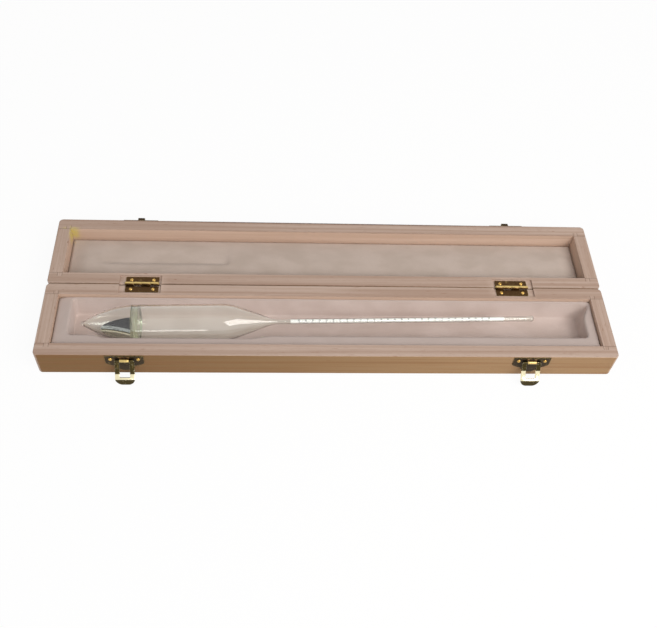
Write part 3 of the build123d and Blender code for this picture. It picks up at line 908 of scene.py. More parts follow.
@dataclass
class Screws:
    """Cross-head brass screws that stand in for one node of plain ones."""

    node: str
    body: str
    look: Head
    radius: float
    height: float
    finish_name: str = "screw_brass"
    recess: float = 0.55
    arm: float = 0.17
    steps: int = 48
    rings: int = 14
    apart_x: float = 2 * MM
    apart_y: float = 8 * MM
    arm_soft: tuple[float, float] = (0.7, 1.5)
    arm_reach: tuple[float, float] = (0.5, 0.68)
    shank: tuple[tuple[float, float], ...] = ((0.96, -0.02), (0.5, -0.02), (0.5, -0.6))

    def islands(self) -> list[np.ndarray]:
        """The corners of each separate screw in the node."""
        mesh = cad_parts[self.node].data
        points = np.array([vertex.co for vertex in mesh.vertices])
        order = np.argsort(points[:, 0])
        sorted_points = points[order]
        breaks = np.where(np.diff(sorted_points[:, 0]) > self.apart_x)[0] + 1
        return np.split(sorted_points, breaks)

    def seat(self, cloud: np.ndarray) -> Matrix:
        """Where one screw's head sits, its Z pointing out of the head.

        Args:
            cloud: The screw's corners.

        Returns:
            The place of the head's underside.
        """
        low, high = cloud.min(0), cloud.max(0)
        middle = (low + high) / 2
        if self.look is Head.UP:
            return Matrix.Translation((middle[0], middle[1], high[2] - self.height))
        if self.look is Head.FORWARD:
            turn = Matrix.Rotation(math.radians(90), 4, "X")
            return Matrix.Translation((middle[0], low[1] + self.height, middle[2])) @ turn
        turn = Matrix.Rotation(math.radians(-90), 4, "X")
        return Matrix.Translation((middle[0], high[1] - self.height, middle[2])) @ turn

    def head(self, seat: Matrix, turn: float) -> tuple[list, list]:
        """One domed head with its cross recess and a short shank.

        Args:
            seat: Where it sits.
            turn: How far the cross is turned.

        Returns:
            Its points and faces.
        """
        dome = (self.radius ** 2 + self.height ** 2) / (2 * self.height)
        points = []
        for ring in range(self.rings + 1):
            reach = max(self.radius * ring / self.rings, 0.002 * MM)
            for step in range(self.steps):
                angle = 2 * math.pi * step / self.steps
                x, y = reach * math.cos(angle + turn), reach * math.sin(angle + turn)
                z = self.height - dome + math.sqrt(max(dome ** 2 - reach ** 2, 0.0))
                from_arm = min(abs(x), abs(y)) / (self.arm * self.radius)
                in_cross = 1 - smooth_step(from_arm, *self.arm_soft)
                in_reach = 1 - smooth_step(reach / self.radius, *self.arm_reach)
                z -= self.recess * self.height * in_cross * in_reach
                local = Vector((reach * math.cos(angle), reach * math.sin(angle), z))
                points.append(seat @ local)
        for reach, z in self.shank:
            for step in range(self.steps):
                angle = 2 * math.pi * step / self.steps
                x, y = self.radius * reach * math.cos(angle), self.radius * reach * math.sin(angle)
                points.append(seat @ Vector((x, y, z * self.height)))
        return points, ring_faces(self.rings + 1 + len(self.shank), self.steps, True, flip=True)

    def build(self, material: bpy.types.Material) -> None:
        """Makes the screws and hides the plain ones.

        Args:
            material: Their finish.
        """
        draw = random.Random(self.node)
        points, faces = [], []
        for cloud in self.islands():
            for screw in self.split_rows(cloud):
                made, quads = self.head(self.seat(screw), draw.uniform(0, math.pi / 2))
                faces += [[corner + len(points) for corner in quad] for quad in quads]
                points += made
        made = piece(f"{self.node}_detailed", points, faces)
        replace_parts(finish(made, material, self.body), self.node)

    def split_rows(self, cloud: np.ndarray) -> list[np.ndarray]:
        """Splits screws that lie one behind the other.

        Args:
            cloud: Corners that share a stretch of X.

        Returns:
            The corners of each screw.
        """
        ordered = cloud[np.argsort(cloud[:, 1])]
        breaks = np.where(np.diff(ordered[:, 1]) > self.apart_y)[0] + 1
        return np.split(ordered, breaks)


@dataclass
class Hardware:
    """Hinges, latches, catches and all their screws."""

    hinge_coat_and_shade: Colour = paint(80, 58, 36)
    latch_coat: Colour = paint(60, 46, 26)
    gold: Colour = paint(206, 180, 116)
    loop_coat_and_shade: Colour = paint(72, 62, 36)
    loop_highlight_gold: Colour = paint(236, 226, 190)
    screw_coat: Colour = paint(186, 148, 78)
    screw_gold: Colour = paint(244, 218, 150)
    ease: float = 0.07 * MM
    loop_highlight_from: float = 5.6 * MM
    loop_highlight_to: tuple[float, float] = (8.2 * MM, 11.0 * MM)
    loop_ease: float = 0.15 * MM
    knuckle_highlight_low: Triple = (-1.0, 30.0 * MM, 22.4 * MM)
    knuckle_highlight_high: Triple = (1.0, 31.4 * MM, 24.0 * MM)
    tongue_low: Triple = (-1.0, -36.0 * MM, 16.6 * MM)
    tongue_high: Triple = (1.0, -31.3 * MM, 18.6 * MM)
    hinge_head: tuple[float, float] = (1.3 * MM, 0.55 * MM)
    latch_head: tuple[float, float] = (1.4 * MM, 0.9 * MM)

    def build(self) -> None:
        """Dresses the brass and makes its screws."""
        # Painted highlights: bright boxes on the hinge knuckles and on the loops' lower bars. The dark coats
        # on the hinge leaves and the loops are partly an antique coat and partly painted shade.
        leaf = AgedBrass("hinge_brass", self.hinge_coat_and_shade, self.gold, 0.75, bright_box_low=self.knuckle_highlight_low,
                         bright_box_high=self.knuckle_highlight_high).material()
        plate = AgedBrass("latch_brass", self.latch_coat, self.gold, 0.8, bright_box_low=self.tongue_low,
                          bright_box_high=self.tongue_high).material()
        screw = AgedBrass("screw_brass", self.screw_coat, self.screw_gold, 0.9, rough=0.22).material()
        for side, top in zip(("left", "right"), self.loop_highlight_to):
            loop = AgedBrass(f"loop_brass_{side}", self.loop_coat_and_shade, self.loop_highlight_gold, 0.7, rough=0.22,
                             bright_box_low=(-1.0, -1.0, self.loop_highlight_from),
                             bright_box_high=(1.0, 0.0, top)).material()
            for node in (f"hinge_leaf_base_{side}", f"hinge_leaf_lid_{side}", f"hinge_pin_{side}"):
                dress(node, leaf, self.ease)
            for node in (f"latch_plate_{side}", f"catch_plate_{side}"):
                dress(node, plate, self.ease)
            dress(f"latch_loop_{side}", loop, self.loop_ease)
        Screws("hinge_screws_base", "base", Head.UP, *self.hinge_head).build(screw)
        Screws("hinge_screws_lid", "lid", Head.UP, *self.hinge_head).build(screw)
        Screws("latch_screws", "base", Head.FORWARD, *self.latch_head).build(screw)
        Screws("catch_screws", "lid", Head.BACK, *self.latch_head).build(screw)
        log.info("hardware: hinges, latches, catches and screws")


@dataclass
class PocketLining:
    """The brushed cloth over the base's foam: margins, soft walls, a sloping back, a floor. In millimetres."""

    left: float = -180.5
    right: float = 183.0
    front: float = -11.1
    bay: float = -13.4
    bay_left: float = -159.7
    bay_right: float = -49.2
    bay_sweep: float = 9.0
    back: float = 19.8
    back_foot: float = 16.8
    outer_x: float = 190.2
    outer_y: float = 20.6
    top: float = 18.5
    floor: float = 3.1
    corner: float = 3.0
    edge_round: float = 1.7
    crease_round: float = 1.2
    cloth: float = 0.6
    fold_pull: float = 5.6
    long_steps: int = 170
    short_steps: int = 16
    corner_steps: int = 7
    fold_start: float = 4.0
    lip: float = 0.8
    round_share: float = 0.6
    puff: float = 0.22
    puff_size: float = 26.0
    ripple: float = 0.10
    ripple_size: float = 7.0
    sink: float = 0.12
    give: float = 0.2
    give_size: float = 18.0
    sag: float = 0.16
    sag_size: float = 22.0
    floor_inset: float = 13.0
    margin_drops: tuple[tuple[float, float], ...] = ((0.0, 2.2), (0.015, 1.0), (0.06, 0.35))
    margin_shares: tuple[float, ...] = (0.14, 0.3, 0.45, 0.6, 0.75, 0.9, 1.0)
    wall_shares: tuple[float, ...] = (0.004, 0.012, 0.025, 0.045, 0.07, 0.10, 0.16, 0.26, 0.38, 0.5, 0.62,
                                      0.74, 0.84, 0.91, 0.94, 0.965, 0.985, 1.0)
    floor_shares: tuple[float, ...] = (0.03, 0.08, 0.16, 0.3, 0.45, 0.6, 0.8, 1.0)

    def front_line(self, x: float) -> float:
        """Where the pocket's front edge runs.

        Args:
            x: The place along the case.

        Returns:
            The edge's Y.
        """
        enter = smooth_step(x, self.bay_left - self.bay_sweep / 2, self.bay_left + self.bay_sweep / 2)
        leave = smooth_step(x, self.bay_right - self.bay_sweep, self.bay_right + self.bay_sweep)
        return self.front + (self.bay - self.front) * (enter - leave)

    def outline(self) -> list[tuple[Vector, Vector, Vector, Vector]]:
        """The pocket's edge, point by point round the pocket.

        Returns:
            For each point its edge, its foot, the point at the wood and the way outwards, from above.
        """
        made = []
        corner = self.corner
        for step in range(self.long_steps):
            x = self.left + corner + (self.right - self.left - 2 * corner) * step / self.long_steps
            y = self.front_line(x)
            made.append((Vector((x, y)), Vector((x, y)), Vector((x, -self.outer_y)), Vector((0, -1))))
        made += self.corner_arc(self.right - corner, self.front + corner, -90)
        for step in range(self.short_steps):
            y = self.front + corner + (self.back - self.front - 2 * corner) * step / self.short_steps
            made.append(self.side_point(self.right, y, self.outer_x))
        made += self.corner_arc(self.right - corner, self.back - corner, 0)
        for step in range(self.long_steps):
            x = self.right - corner - (self.right - self.left - 2 * corner) * step / self.long_steps
            foot = Vector((x, self.back_foot))
            made.append((Vector((x, self.back)), foot, Vector((x, self.outer_y)), Vector((0, 1))))
        made += self.corner_arc(self.left + corner, self.back - corner, 90)
        for step in range(self.short_steps):
            y = self.back - corner - (self.back - self.front - 2 * corner) * step / self.short_steps
            made.append(self.side_point(self.left, y, -self.outer_x))
        made += self.corner_arc(self.left + corner, self.front + corner, 180)
        return made

    def side_point(self, x: float, y: float, outer: float) -> tuple[Vector, Vector, Vector, Vector]:
        """One point of the pocket's left or right edge.

        Args:
            x: Where that edge is.
            y: The place across the case.
            outer: Where the wood is.

        Returns:
            Its edge, its foot, the point at the wood and the way outwards.
        """
        way = Vector((math.copysign(1, outer), 0))
        return Vector((x + self.fold(x, y), y)), self.foot(x, y), Vector((outer, y)), way

    def fold(self, x: float, y: float) -> float:
        """How far the fold at the right end pulls a point of the edge outwards."""
        return self.fold_pull * smooth_step(y, self.fold_start, self.back) if x > 0 else 0.0

    def foot(self, x: float, y: float) -> Vector:
        """The foot of the wall below a point of the edge."""
        squeeze = (self.back_foot - self.front) / (self.back - self.front)
        return Vector((x, self.front + (y - self.front) * squeeze))

    def corner_arc(self, x: float, y: float, start: float) -> list:
        """The points of one rounded corner.

        Args:
            x: The middle of its round, along X.
            y: The middle of its round, along Y.
            start: The angle at which it starts.

        Returns:
            The corner's points.
        """
        made = []
        for step in range(self.corner_steps):
            angle = math.radians(start + 90 * step / self.corner_steps)
            way = Vector((math.cos(angle), math.sin(angle)))
            edge = Vector((x, y)) + way * self.corner
            pull = self.fold(edge.x, edge.y)
            foot = self.foot(edge.x, edge.y)
            run_x = (math.copysign(self.outer_x, way.x) - x) / way.x if abs(way.x) > 1e-6 else 1e9
            run_y = (math.copysign(self.outer_y, way.y) - y) / way.y if abs(way.y) > 1e-6 else 1e9
            outer = Vector((x, y)) + way * min(run_x, run_y)
            edge.x = min(edge.x + pull * max(way.x, 0.0), self.outer_x - self.lip)
            made.append((edge, foot, outer, way))
        return made

    def margin_ring(self, share: float, drop: float, outline: list) -> list[Vector]:
        """One ring of points on the flat margin.

        Args:
            share: 0 at the wood, 1 where the edge starts to turn down.
            drop: How far the ring lies below the top.
            outline: The pocket's edge.

        Returns:
            The ring.
        """
        ring = []
        for edge, _, outer, _ in outline:
            way = outer - edge
            reach = max(way.length, 1e-6)
            turn = min(self.edge_round, reach * self.round_share)
            start = edge + way * (turn / reach)
            place = outer + (start - outer) * share
            puff = self.puff * wave(place.x, place.y, 0, self.puff_size, 1.0)
            puff += self.ripple * wave(place.x, place.y, 0, self.ripple_size, 2.0)
            ring.append(Vector((place.x, place.y, self.top - drop + puff - self.sink)))
        return ring

    def wall_ring(self, share: float, outline: list) -> list[Vector]:
        """One ring of points down the pocket's walls.

        Args:
            share: 0 at the top of the rounded edge, 1 at the floor's crease.
            outline: The pocket's edge.

        Returns:
            The ring.
        """
        ring = []
        for edge, foot, outer, out in outline:
            turn = min(self.edge_round, (outer - edge).length * self.round_share)
            drop_all = self.top - self.floor
            depth = drop_all * share
            lean = edge + (foot - edge) * share
            round_out = turn * (1 - math.sqrt(max(0.0, 1 - (1 - min(depth / turn, 1)) ** 2)))
            left = drop_all - depth
            round_in = 0.0
            if left < self.crease_round:
                share_in = 1 - left / self.crease_round
                round_in = self.crease_round * (1 - math.sqrt(max(0.0, 1 - share_in ** 2)))
            place = lean + out * round_out - out * round_in
            give = self.give * (0.5 + wave(place.x, place.y, depth, self.give_size, 5.0))
            give *= math.sin(math.pi * share)
            place = place + out * max(0.0, give)
            puff = (self.puff * wave(edge.x, edge.y, 0, self.puff_size, 1.0) - self.sink) * (1 - share)
            ring.append(Vector((place.x, place.y, self.top - depth + puff)))
        return ring

    def floor_ring(self, share: float, outline: list) -> list[Vector]:
        """One ring of points on the floor.

        Args:
            share: 0 at the walls, 1 on the middle line.
            outline: The pocket's edge.

        Returns:
            The ring.
        """
        middle_y = (self.front + self.back_foot) / 2
        ring = []
        for _, foot, _, out in outline:
            start = foot - out * self.crease_round
            inner_x = min(max(foot.x, self.left + self.floor_inset), self.right - self.floor_inset)
            middle = Vector((inner_x, middle_y))
            place = start + (middle - start) * share
            sag = self.sag * (wave(place.x, place.y, 0, self.sag_size, 7.0) - 0.9) * min(1.0, share * 4)
            ring.append(Vector((place.x, place.y, self.floor + sag)))
        return ring

    def build(self, material: bpy.types.Material) -> bpy.types.Object:
        """Makes the cloth.

        Args:
            material: Its finish.

        Returns:
            The lining.
        """
        outline = self.outline()
        rings = [self.margin_ring(share, drop, outline) for share, drop in self.margin_drops]
        rings += [self.margin_ring(share, 0.0, outline) for share in self.margin_shares]
        rings += [self.wall_ring(share, outline) for share in self.wall_shares]
        rings += [self.floor_ring(share, outline) for share in self.floor_shares]
        points = [point * MM for ring in rings for point in ring]
        cloth = piece("pocket_lining", points, ring_faces(len(rings), len(outline), True))
        solid = cloth.modifiers.new("thickness", "SOLIDIFY")
        solid.thickness = self.cloth * MM
        solid.offset = -1.0
        finish(cloth, material, "base")
        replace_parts(cloth, "base_lining")
        log.info("pocket lining: %d points", len(points))
        return cloth


@dataclass
class FoamInsert:
    """The foam pieces under the lining."""

    nodes: tuple[str, ...] = ("foam_front_strip", "foam_back_wedge", "foam_left_block", "foam_right_block")
    shrink: float = 0.25 * MM
    round_off: float = 0.8 * MM
    crushed_x: tuple[float, float] = (180.0 * MM, 186.0 * MM)
    crushed_from_y: float = 4.0 * MM
    crushed_to: float = 188.9 * MM

    def build(self, material: bpy.types.Material) -> None:
        """Makes each foam piece, a little soft at its edges.

        Args:
            material: Their finish.
        """
        for node in self.nodes:
            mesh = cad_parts[node].data.copy()
            made = bpy.data.objects.new(f"{node}_soft", mesh)
            bpy.context.scene.collection.objects.link(made)
            self.crush(mesh)
            weld = made.modifiers.new("joined", "WELD")
            weld.merge_threshold = WELD_REACH
            soft = made.modifiers.new("soft", "BEVEL")
            soft.width = self.round_off
            soft.segments = 3
            soft.limit_method = "ANGLE"
            inward = made.modifiers.new("inward", "DISPLACE")
            inward.strength = -self.shrink
            inward.mid_level = 0.0
            finish(made, material, "base")
            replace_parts(made, node)
        log.info("foam insert: %d pieces", len(self.nodes))

    def crush(self, mesh: bpy.types.Mesh) -> None:
        """Presses the foam back where the lining's fold pulls across the pocket's back corner.

        Args:
            mesh: The foam piece's own mesh.
        """
        for corner in mesh.vertices:
            in_reach = self.crushed_x[0] < corner.co.x < self.crushed_x[1]
            if in_reach and corner.co.y > self.crushed_from_y:
                corner.co.x = self.crushed_to


@dataclass
class LidPad:
    """The crowned pad in the lid, with the shallow print that the bulb has left. In millimetres."""

    half_x: float = 190.1
    front: float = 40.6
    back: float = 81.6
    edge: float = 10.6
    crown: float = 2.4
    bottom: float = 2.5
    end_rise: float = 14.0
    tuck: float = 1.5
    tuck_reach: tuple[float, float] = (-0.4, 1.8)
    print_depth: float = 1.7
    tip_slope: tuple[float, float] = (-172.0, -156.0)
    shoulder_slope: tuple[float, float] = (-77.0, -71.5)
    near_slope: tuple[float, float] = (55.0, 59.8)
    far_slope: tuple[float, float] = (59.8, 75.5)
    crease_depth: float = 0.7
    crease_line: float = 58.4
    crease_width: float = 1.3
    puff: float = 0.18
    puff_size: float = 30.0
    ripple: float = 0.07
    ripple_size: float = 9.0
    puff_reach: float = 4.0
    crowding: float = 0.11
    steps_x: int = 300
    steps_y: int = 46

    def height(self, x: float, y: float) -> float:
        """How high the pad's cloth lies.

        Args:
            x: The place along the case.
            y: The place across it.

        Returns:
            Its Z.
        """
        middle = (self.front + self.back) / 2
        across = (y - middle) / ((self.back - self.front) / 2)
        from_end = self.half_x - abs(x)
        lift = self.crown * (1 - across ** 2) * smooth_step(from_end, 0.0, self.end_rise)
        side = min(from_end, y - self.front, self.back - y)
        tuck = self.tuck * (1 - smooth_step(side, *self.tuck_reach))
        in_length = smooth_step(x, *self.tip_slope) * (1 - smooth_step(x, *self.shoulder_slope))
        in_width = smooth_step(y, *self.near_slope) * (1 - smooth_step(y, *self.far_slope))
        dent = self.print_depth * in_length * in_width
        off_line = (y - self.crease_line) / self.crease_width
        crease = self.crease_depth * in_length * math.exp(-off_line ** 2)
        puff = self.puff * wave(x, y, 0, self.puff_size, 11.0)
        puff += self.ripple * wave(x, y * 1.6, 0, self.ripple_size, 13.0)
        return self.edge + lift - tuck - dent - crease + puff * smooth_step(side, 0, self.puff_reach)

    def build(self, material: bpy.types.Material) -> bpy.types.Object:
        """Makes the pad.

        Args:
            material: Its finish.

        Returns:
            The pad.
        """
        points = []
        for row in range(self.steps_y + 1):
            y = self.front + (self.back - self.front) * self.spaced(row / self.steps_y)
            for column in range(self.steps_x + 1):
                x = -self.half_x + 2 * self.half_x * self.spaced(column / self.steps_x)
                points.append(Vector((x, y, self.height(x, y))))
        top = len(points)
        wide = self.steps_x + 1
        faces = ring_faces(self.steps_y + 1, wide, False)
        border = list(range(wide)) + [row * wide + wide - 1 for row in range(1, self.steps_y + 1)]
        border += [self.steps_y * wide + column for column in range(self.steps_x - 1, -1, -1)]
        border += [row * wide for row in range(self.steps_y - 1, 0, -1)]
        for corner in border:
            points.append(Vector((points[corner].x, points[corner].y, self.bottom)))
        for step, corner in enumerate(border):
            after = (step + 1) % len(border)
            faces.append([corner, top + step, top + after, border[after]])
        faces.append([top + step for step in range(len(border))][::-1])
        pad = piece("lid_pad", [point * MM for point in points], faces)
        finish(pad, material, "lid")
        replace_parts(pad, "lid_pad_cover", "lid_pad_foam")
        log.info("lid pad: %d points", len(points))
        return pad

    def spaced(self, share: float) -> float:
        """A share from 0 to 1, with more steps near both ends."""
        return share - self.crowding * math.sin(2 * math.pi * share) * (1 if 0 < share < 1 else 0)


@dataclass
class Hydrometer:
    """The glass instrument: envelope, partition, ballast and the scale in its stem, in millimetres."""

    tip: Triple = (-173.2, -1.069, 16.3)
    yaw: float = 1.35
    length: float = 320.4
    bulb: float = 12.9
    nose: float = 39.0
    shoulder: float = 103.0
    cone: float = 30.0
    stem: float = 1.9
    glass: float = 1.0
    stem_glass: float = 0.45
    shoulder_round: float = 35.0
    neck_round: float = 20.0
    bead: float = 2.2
    nib: float = 1.6
    partition_start: float = 35.4
    partition_end: float = 40.6
    dish: float = 1.5
    ballast_drop: float = 6.2
    play: float = 0.05
    paper_radius: float = 1.35
    scale_first: float = 151.0
    scale_step: float = 4.86
    numbers: int = 29
    first_number: int = 980
    number_step: int = -10
    ticks_between: int = 5
    steps: int = 96
    read_angle: float = 36.9
    round_steps: int = 12
    nose_steps: int = 48
    nose_crowding: float = 1.3
    bulb_steps: int = 9
    bulb_stop: float = 8.0
    stem_start: float = 140.0
    stem_steps: int = 39
    dish_steps: int = 10
    rim: tuple[float, float] = (0.5, 1.6)
    waist: float = 0.25
    ballast_rows: int = 40
    ballast_crowding: float = 1.4
    ballast_arc: int = 28
    ballast_top: int = 12
    crisp_angle: float = math.radians(32)
    line_lift: float = 0.012
    digit_lift: float = 0.014
    digit_size: float = 1.75
    digit_spacing: float = 0.92
    digit_weight: float = 0.035
    digit_gap: float = 0.15
    long_line: Triple = (0.05, 1.9, 0.28)
    short_line: Triple = (0.45, 1.35, 0.17)
    end_dot: Triple = (-0.9, -0.4, 0.5)
    end_dot_place: float = 299.0
    line_parts: int = 10

    def place(self) -> Matrix:
        """Where the instrument lies, its own X running from the tip along its axis."""
        return Matrix.Translation(Vector(self.tip) * MM) @ Matrix.Rotation(math.radians(self.yaw), 4, "Z")

    def rounded(self, corner: tuple[float, float], lean: float, radius: float, bulge: float) -> list:
        """The points of a rounded corner between a level line and the cone.

        Args:
            corner: Where the two lines meet.
            lean: The cone's angle.
            radius: The round's radius.
            bulge: 1 where the glass turns inwards, -1 where it flattens out again.

        Returns:
            The round's points.
        """
        reach = radius * math.tan(lean / 2)
        points = []
        for step in range(self.round_steps + 1):
            share = step / self.round_steps
            if bulge > 0:
                angle = lean * share
                middle = (corner[0] - reach, corner[1] - radius)
                points.append((middle[0] + radius * math.sin(angle), middle[1] + radius * math.cos(angle)))
            else:
                angle = lean * (1 - share)
                middle = (corner[0] + reach, corner[1] + radius)
                points.append((middle[0] - radius * math.sin(angle), middle[1] - radius * math.cos(angle)))
        return points

    def profile(self, inset: float, stem_inset: float) -> list:
        """The envelope's half section, from tip to stem end.

        Args:
            inset: How far it lies inside the outer glass of the bulb.
            stem_inset: How far it lies inside the stem's glass.

        Returns:
            Pairs of a place along the axis and a radius.
        """
        curve = (self.nose ** 2 + self.bulb ** 2) / (2 * self.bulb) - inset
        bulb, stem = self.bulb - inset, self.stem - stem_inset
        start = self.nose - math.sqrt(curve ** 2 - (curve - bulb) ** 2)
        points = []
        for step in range(self.nose_steps + 1):
            along = start + (self.nose - start) * (step / self.nose_steps) ** self.nose_crowding
            radius = bulb - curve + math.sqrt(max(curve ** 2 - (self.nose - along) ** 2, 0.0))
            if inset == 0 and along < self.nib:
                radius = max(radius, math.sqrt(max(self.nib ** 2 - (along - self.nib) ** 2, 0.0)))
            points.append((along, max(radius, 0.001)))
        straight = self.shoulder - self.bulb_stop - self.nose
        for step in range(1, self.bulb_steps):
            points.append((self.nose + straight * step / self.bulb_steps, bulb))
        lean = math.atan((bulb - stem) / self.cone)
        points += self.rounded((self.shoulder, bulb), lean, self.shoulder_round, 1)
        points += self.rounded((self.shoulder + self.cone, stem), lean, self.neck_round, -1)
        last = self.length - stem_inset
        straight = last - 2 * self.bead - self.stem_start
        for step in range(1, self.stem_steps + 1):
            points.append((self.stem_start + straight * step / self.stem_steps, stem))
        middle = last - (self.bead - stem_inset)
        for step in range(self.round_steps + 1):
            angle = math.pi * (1 - step / self.round_steps)
            around = self.bead - stem_inset
            along, radius = middle + around * math.cos(angle), around * math.sin(angle)
            if along > middle or radius > stem:
                points.append((along, max(radius, 0.001)))
        return points

    def envelope(self, material: bpy.types.Material) -> None:
        """Makes the blown glass, outside and inside.

        Args:
            material: Its finish.
        """
        outer = self.profile(0.0, 0.0)
        inner = self.profile(self.glass, self.stem_glass)
        points = revolve(outer, self.place(), self.steps)
        faces = ring_faces(len(outer), self.steps, True)
        start = len(points)
        points += revolve(inner, self.place(), self.steps)
        faces += ring_faces(len(inner), self.steps, True, start, flip=True)
        made = piece("blown_envelope", points, faces)
        self.let_light_through(made)
        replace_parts(finish(made, material, "hydrometer"), "glass_envelope")

    def let_light_through(self, made: bpy.types.Object) -> None:
        """Lets soft light reach what lies behind the glass."""
        made.visible_shadow = False
        made.visible_diffuse = False

    def partition(self, material: bpy.types.Material) -> None:
        """Makes the thick glass wall behind the ballast.

        Args:
            material: Its finish.
        """
        radius = self.bulb - self.glass - self.play
        start, end = self.partition_start, self.partition_end
        near_face, far_face = [], []
        for step in range(self.dish_steps + 1):
            share = step / self.dish_steps
            hollow = self.dish * (1 - share ** 2)
            across = max(radius * share, 0.001)
            near_face.append((start + hollow, across))
            far_face.append((end - hollow, across))
        edge, neck = self.rim
        waist = radius - self.waist
        profile = near_face + [(start + edge, radius), (start + neck, waist)]
        profile += [(end - neck, waist), (end - edge, radius)] + far_face[::-1]
        made = piece("sealed_wall", revolve(profile, self.place(), self.steps),
                     ring_faces(len(profile), self.steps, True))
        self.let_light_through(made)
        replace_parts(finish(made, material, "hydrometer"), "ballast_partition")

    def ballast(self) -> None:
        """Makes the metal that lies level along the low side of the tip."""
        inset = self.glass + self.play
        curve = (self.nose ** 2 + self.bulb ** 2) / (2 * self.bulb) - inset
        bulb = self.bulb - inset
        level = self.ballast_drop
        reach = math.sqrt(curve ** 2 - (level - bulb + curve) ** 2)
        start = self.nose - reach + 0.05
        end = self.partition_start - self.play
        around = self.ballast_arc
        rows = []
        for step in range(self.ballast_rows + 1):
            along = start + (end - start) * (step / self.ballast_rows) ** self.ballast_crowding
            radius = bulb - curve + math.sqrt(curve ** 2 - (self.nose - along) ** 2)
            half = math.acos(min(1.0, level / radius))
            arc = [-half + 2 * half * part / around for part in range(around + 1)]
            row = [Vector((along, radius * math.sin(angle), -radius * math.cos(angle))) for angle in arc]
            side = row[-1].y
            for part in range(1, self.ballast_top):
                row.append(Vector((along, side * (1 - 2 * part / self.ballast_top), -level)))
            rows.append(row)
        points = [self.place() @ (point * MM) for row in rows for point in row]
        wide = len(rows[0])
        faces = ring_faces(len(rows), wide, True)
        faces.append([(len(rows) - 1) * wide + column for column in range(wide)])
        made = piece("ballast_level", points, faces)
        split = made.modifiers.new("crisp", "EDGE_SPLIT")
        split.split_angle = self.crisp_angle
        metal = BallastMetal(self.place(), start * MM, -level * MM).material()
        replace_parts(finish(made, metal, "hydrometer"), "ballast")

    def on_paper(self, along: float, around: float, lift: float) -> Vector:
        """A point on the rolled paper.

        Args:
            along: The place along the axis.
            around: How far round the paper it is, downwards in the view from the front.
            lift: How far it stands off the paper.

        Returns:
            The point, in metres, in the case's own frame.
        """
        radius = self.paper_radius + lift
        angle = around / self.paper_radius + math.radians(self.read_angle)
        return self.place() @ (Vector((along, -radius * math.sin(angle), radius * math.cos(angle))) * MM)

    def tick(self, along: float, low: float, high: float, width: float) -> tuple[list, list]:
        """One printed line across the paper.

        Args:
            along: Where it is.
            low: Where it starts round the paper.
            high: Where it ends.
            width: How wide it is.

        Returns:
            Its points and faces.
        """
        parts = self.line_parts
        points = []
        for part in range(parts + 1):
            around = low + (high - low) * part / parts
            points.append(self.on_paper(along - width / 2, around, self.line_lift))
            points.append(self.on_paper(along + width / 2, around, self.line_lift))
        faces = [[2 * part, 2 * part + 1, 2 * part + 3, 2 * part + 2] for part in range(parts)]
        return points, faces

    def digits(self, text: str, along: float) -> tuple[list, list]:
        """One printed number, upright when the instrument floats.

        Args:
            text: The number.
            along: The place of its middle.

        Returns:
            Its points and faces.
        """
        curve = bpy.data.curves.new("number", "FONT")
        curve.body = text
        curve.size = self.digit_size
        curve.space_character = self.digit_spacing
        curve.offset = self.digit_weight
        curve.resolution_u = 3
        shown = bpy.data.objects.new("number", curve)
        mesh = shown.to_mesh()
        width = max(vertex.co.x for vertex in mesh.vertices)
        tall = max(vertex.co.y for vertex in mesh.vertices)
        points = []
        for vertex in mesh.vertices:
            around = vertex.co.x - width - self.digit_gap
            points.append(self.on_paper(along + vertex.co.y - tall / 2, around, self.digit_lift))
        faces = [list(face.vertices) for face in mesh.polygons]
        shown.to_mesh_clear()
        bpy.data.objects.remove(shown)
        bpy.data.curves.remove(curve)
        return points, faces

    def scale(self, ink: bpy.types.Material, paper: bpy.types.Material) -> None:
        """Dresses the paper and prints its lines and numbers.

        Args:
            ink: The print's finish.
            paper: The paper's finish.
        """
        dress("scale_paper", paper)
        points, faces = [], []
        marks = []
        for number in range(self.numbers):
            along = self.scale_first + number * self.scale_step
            marks.append(self.tick(along, *self.long_line))
            marks.append(self.digits(str(self.first_number + number * self.number_step), along))
            if number < self.numbers - 1:
                for part in range(1, self.ticks_between):
                    place = along + self.scale_step * part / self.ticks_between
                    marks.append(self.tick(place, *self.short_line))
        marks.append(self.tick(self.end_dot_place, *self.end_dot))
        for more, quads in marks:
            faces += [[corner + len(points) for corner in quad] for quad in quads]
            points += more
        made = piece("scale_print", points, faces, smooth=False)
        finish(made, ink, "hydrometer")
        log.info("scale: %d numbers", self.numbers)

    def build(self) -> None:
        """Makes the whole instrument."""
        self.envelope(BlownGlass("clear_glass", paint(250, 253, 250)).material())
        self.partition(BlownGlass("green_glass", paint(214, 224, 200), 0.06 * MM).material())
        self.ballast()
        ink = FlatFinish("scale_ink", paint(22, 22, 26), paint(44, 44, 50), 0.6).material()
        paper = FlatFinish("scale_paper", paint(246, 246, 244), paint(236, 235, 230), 0.7).material()
        self.scale(ink, paper)
        log.info("hydrometer: envelope, partition, ballast and scale")


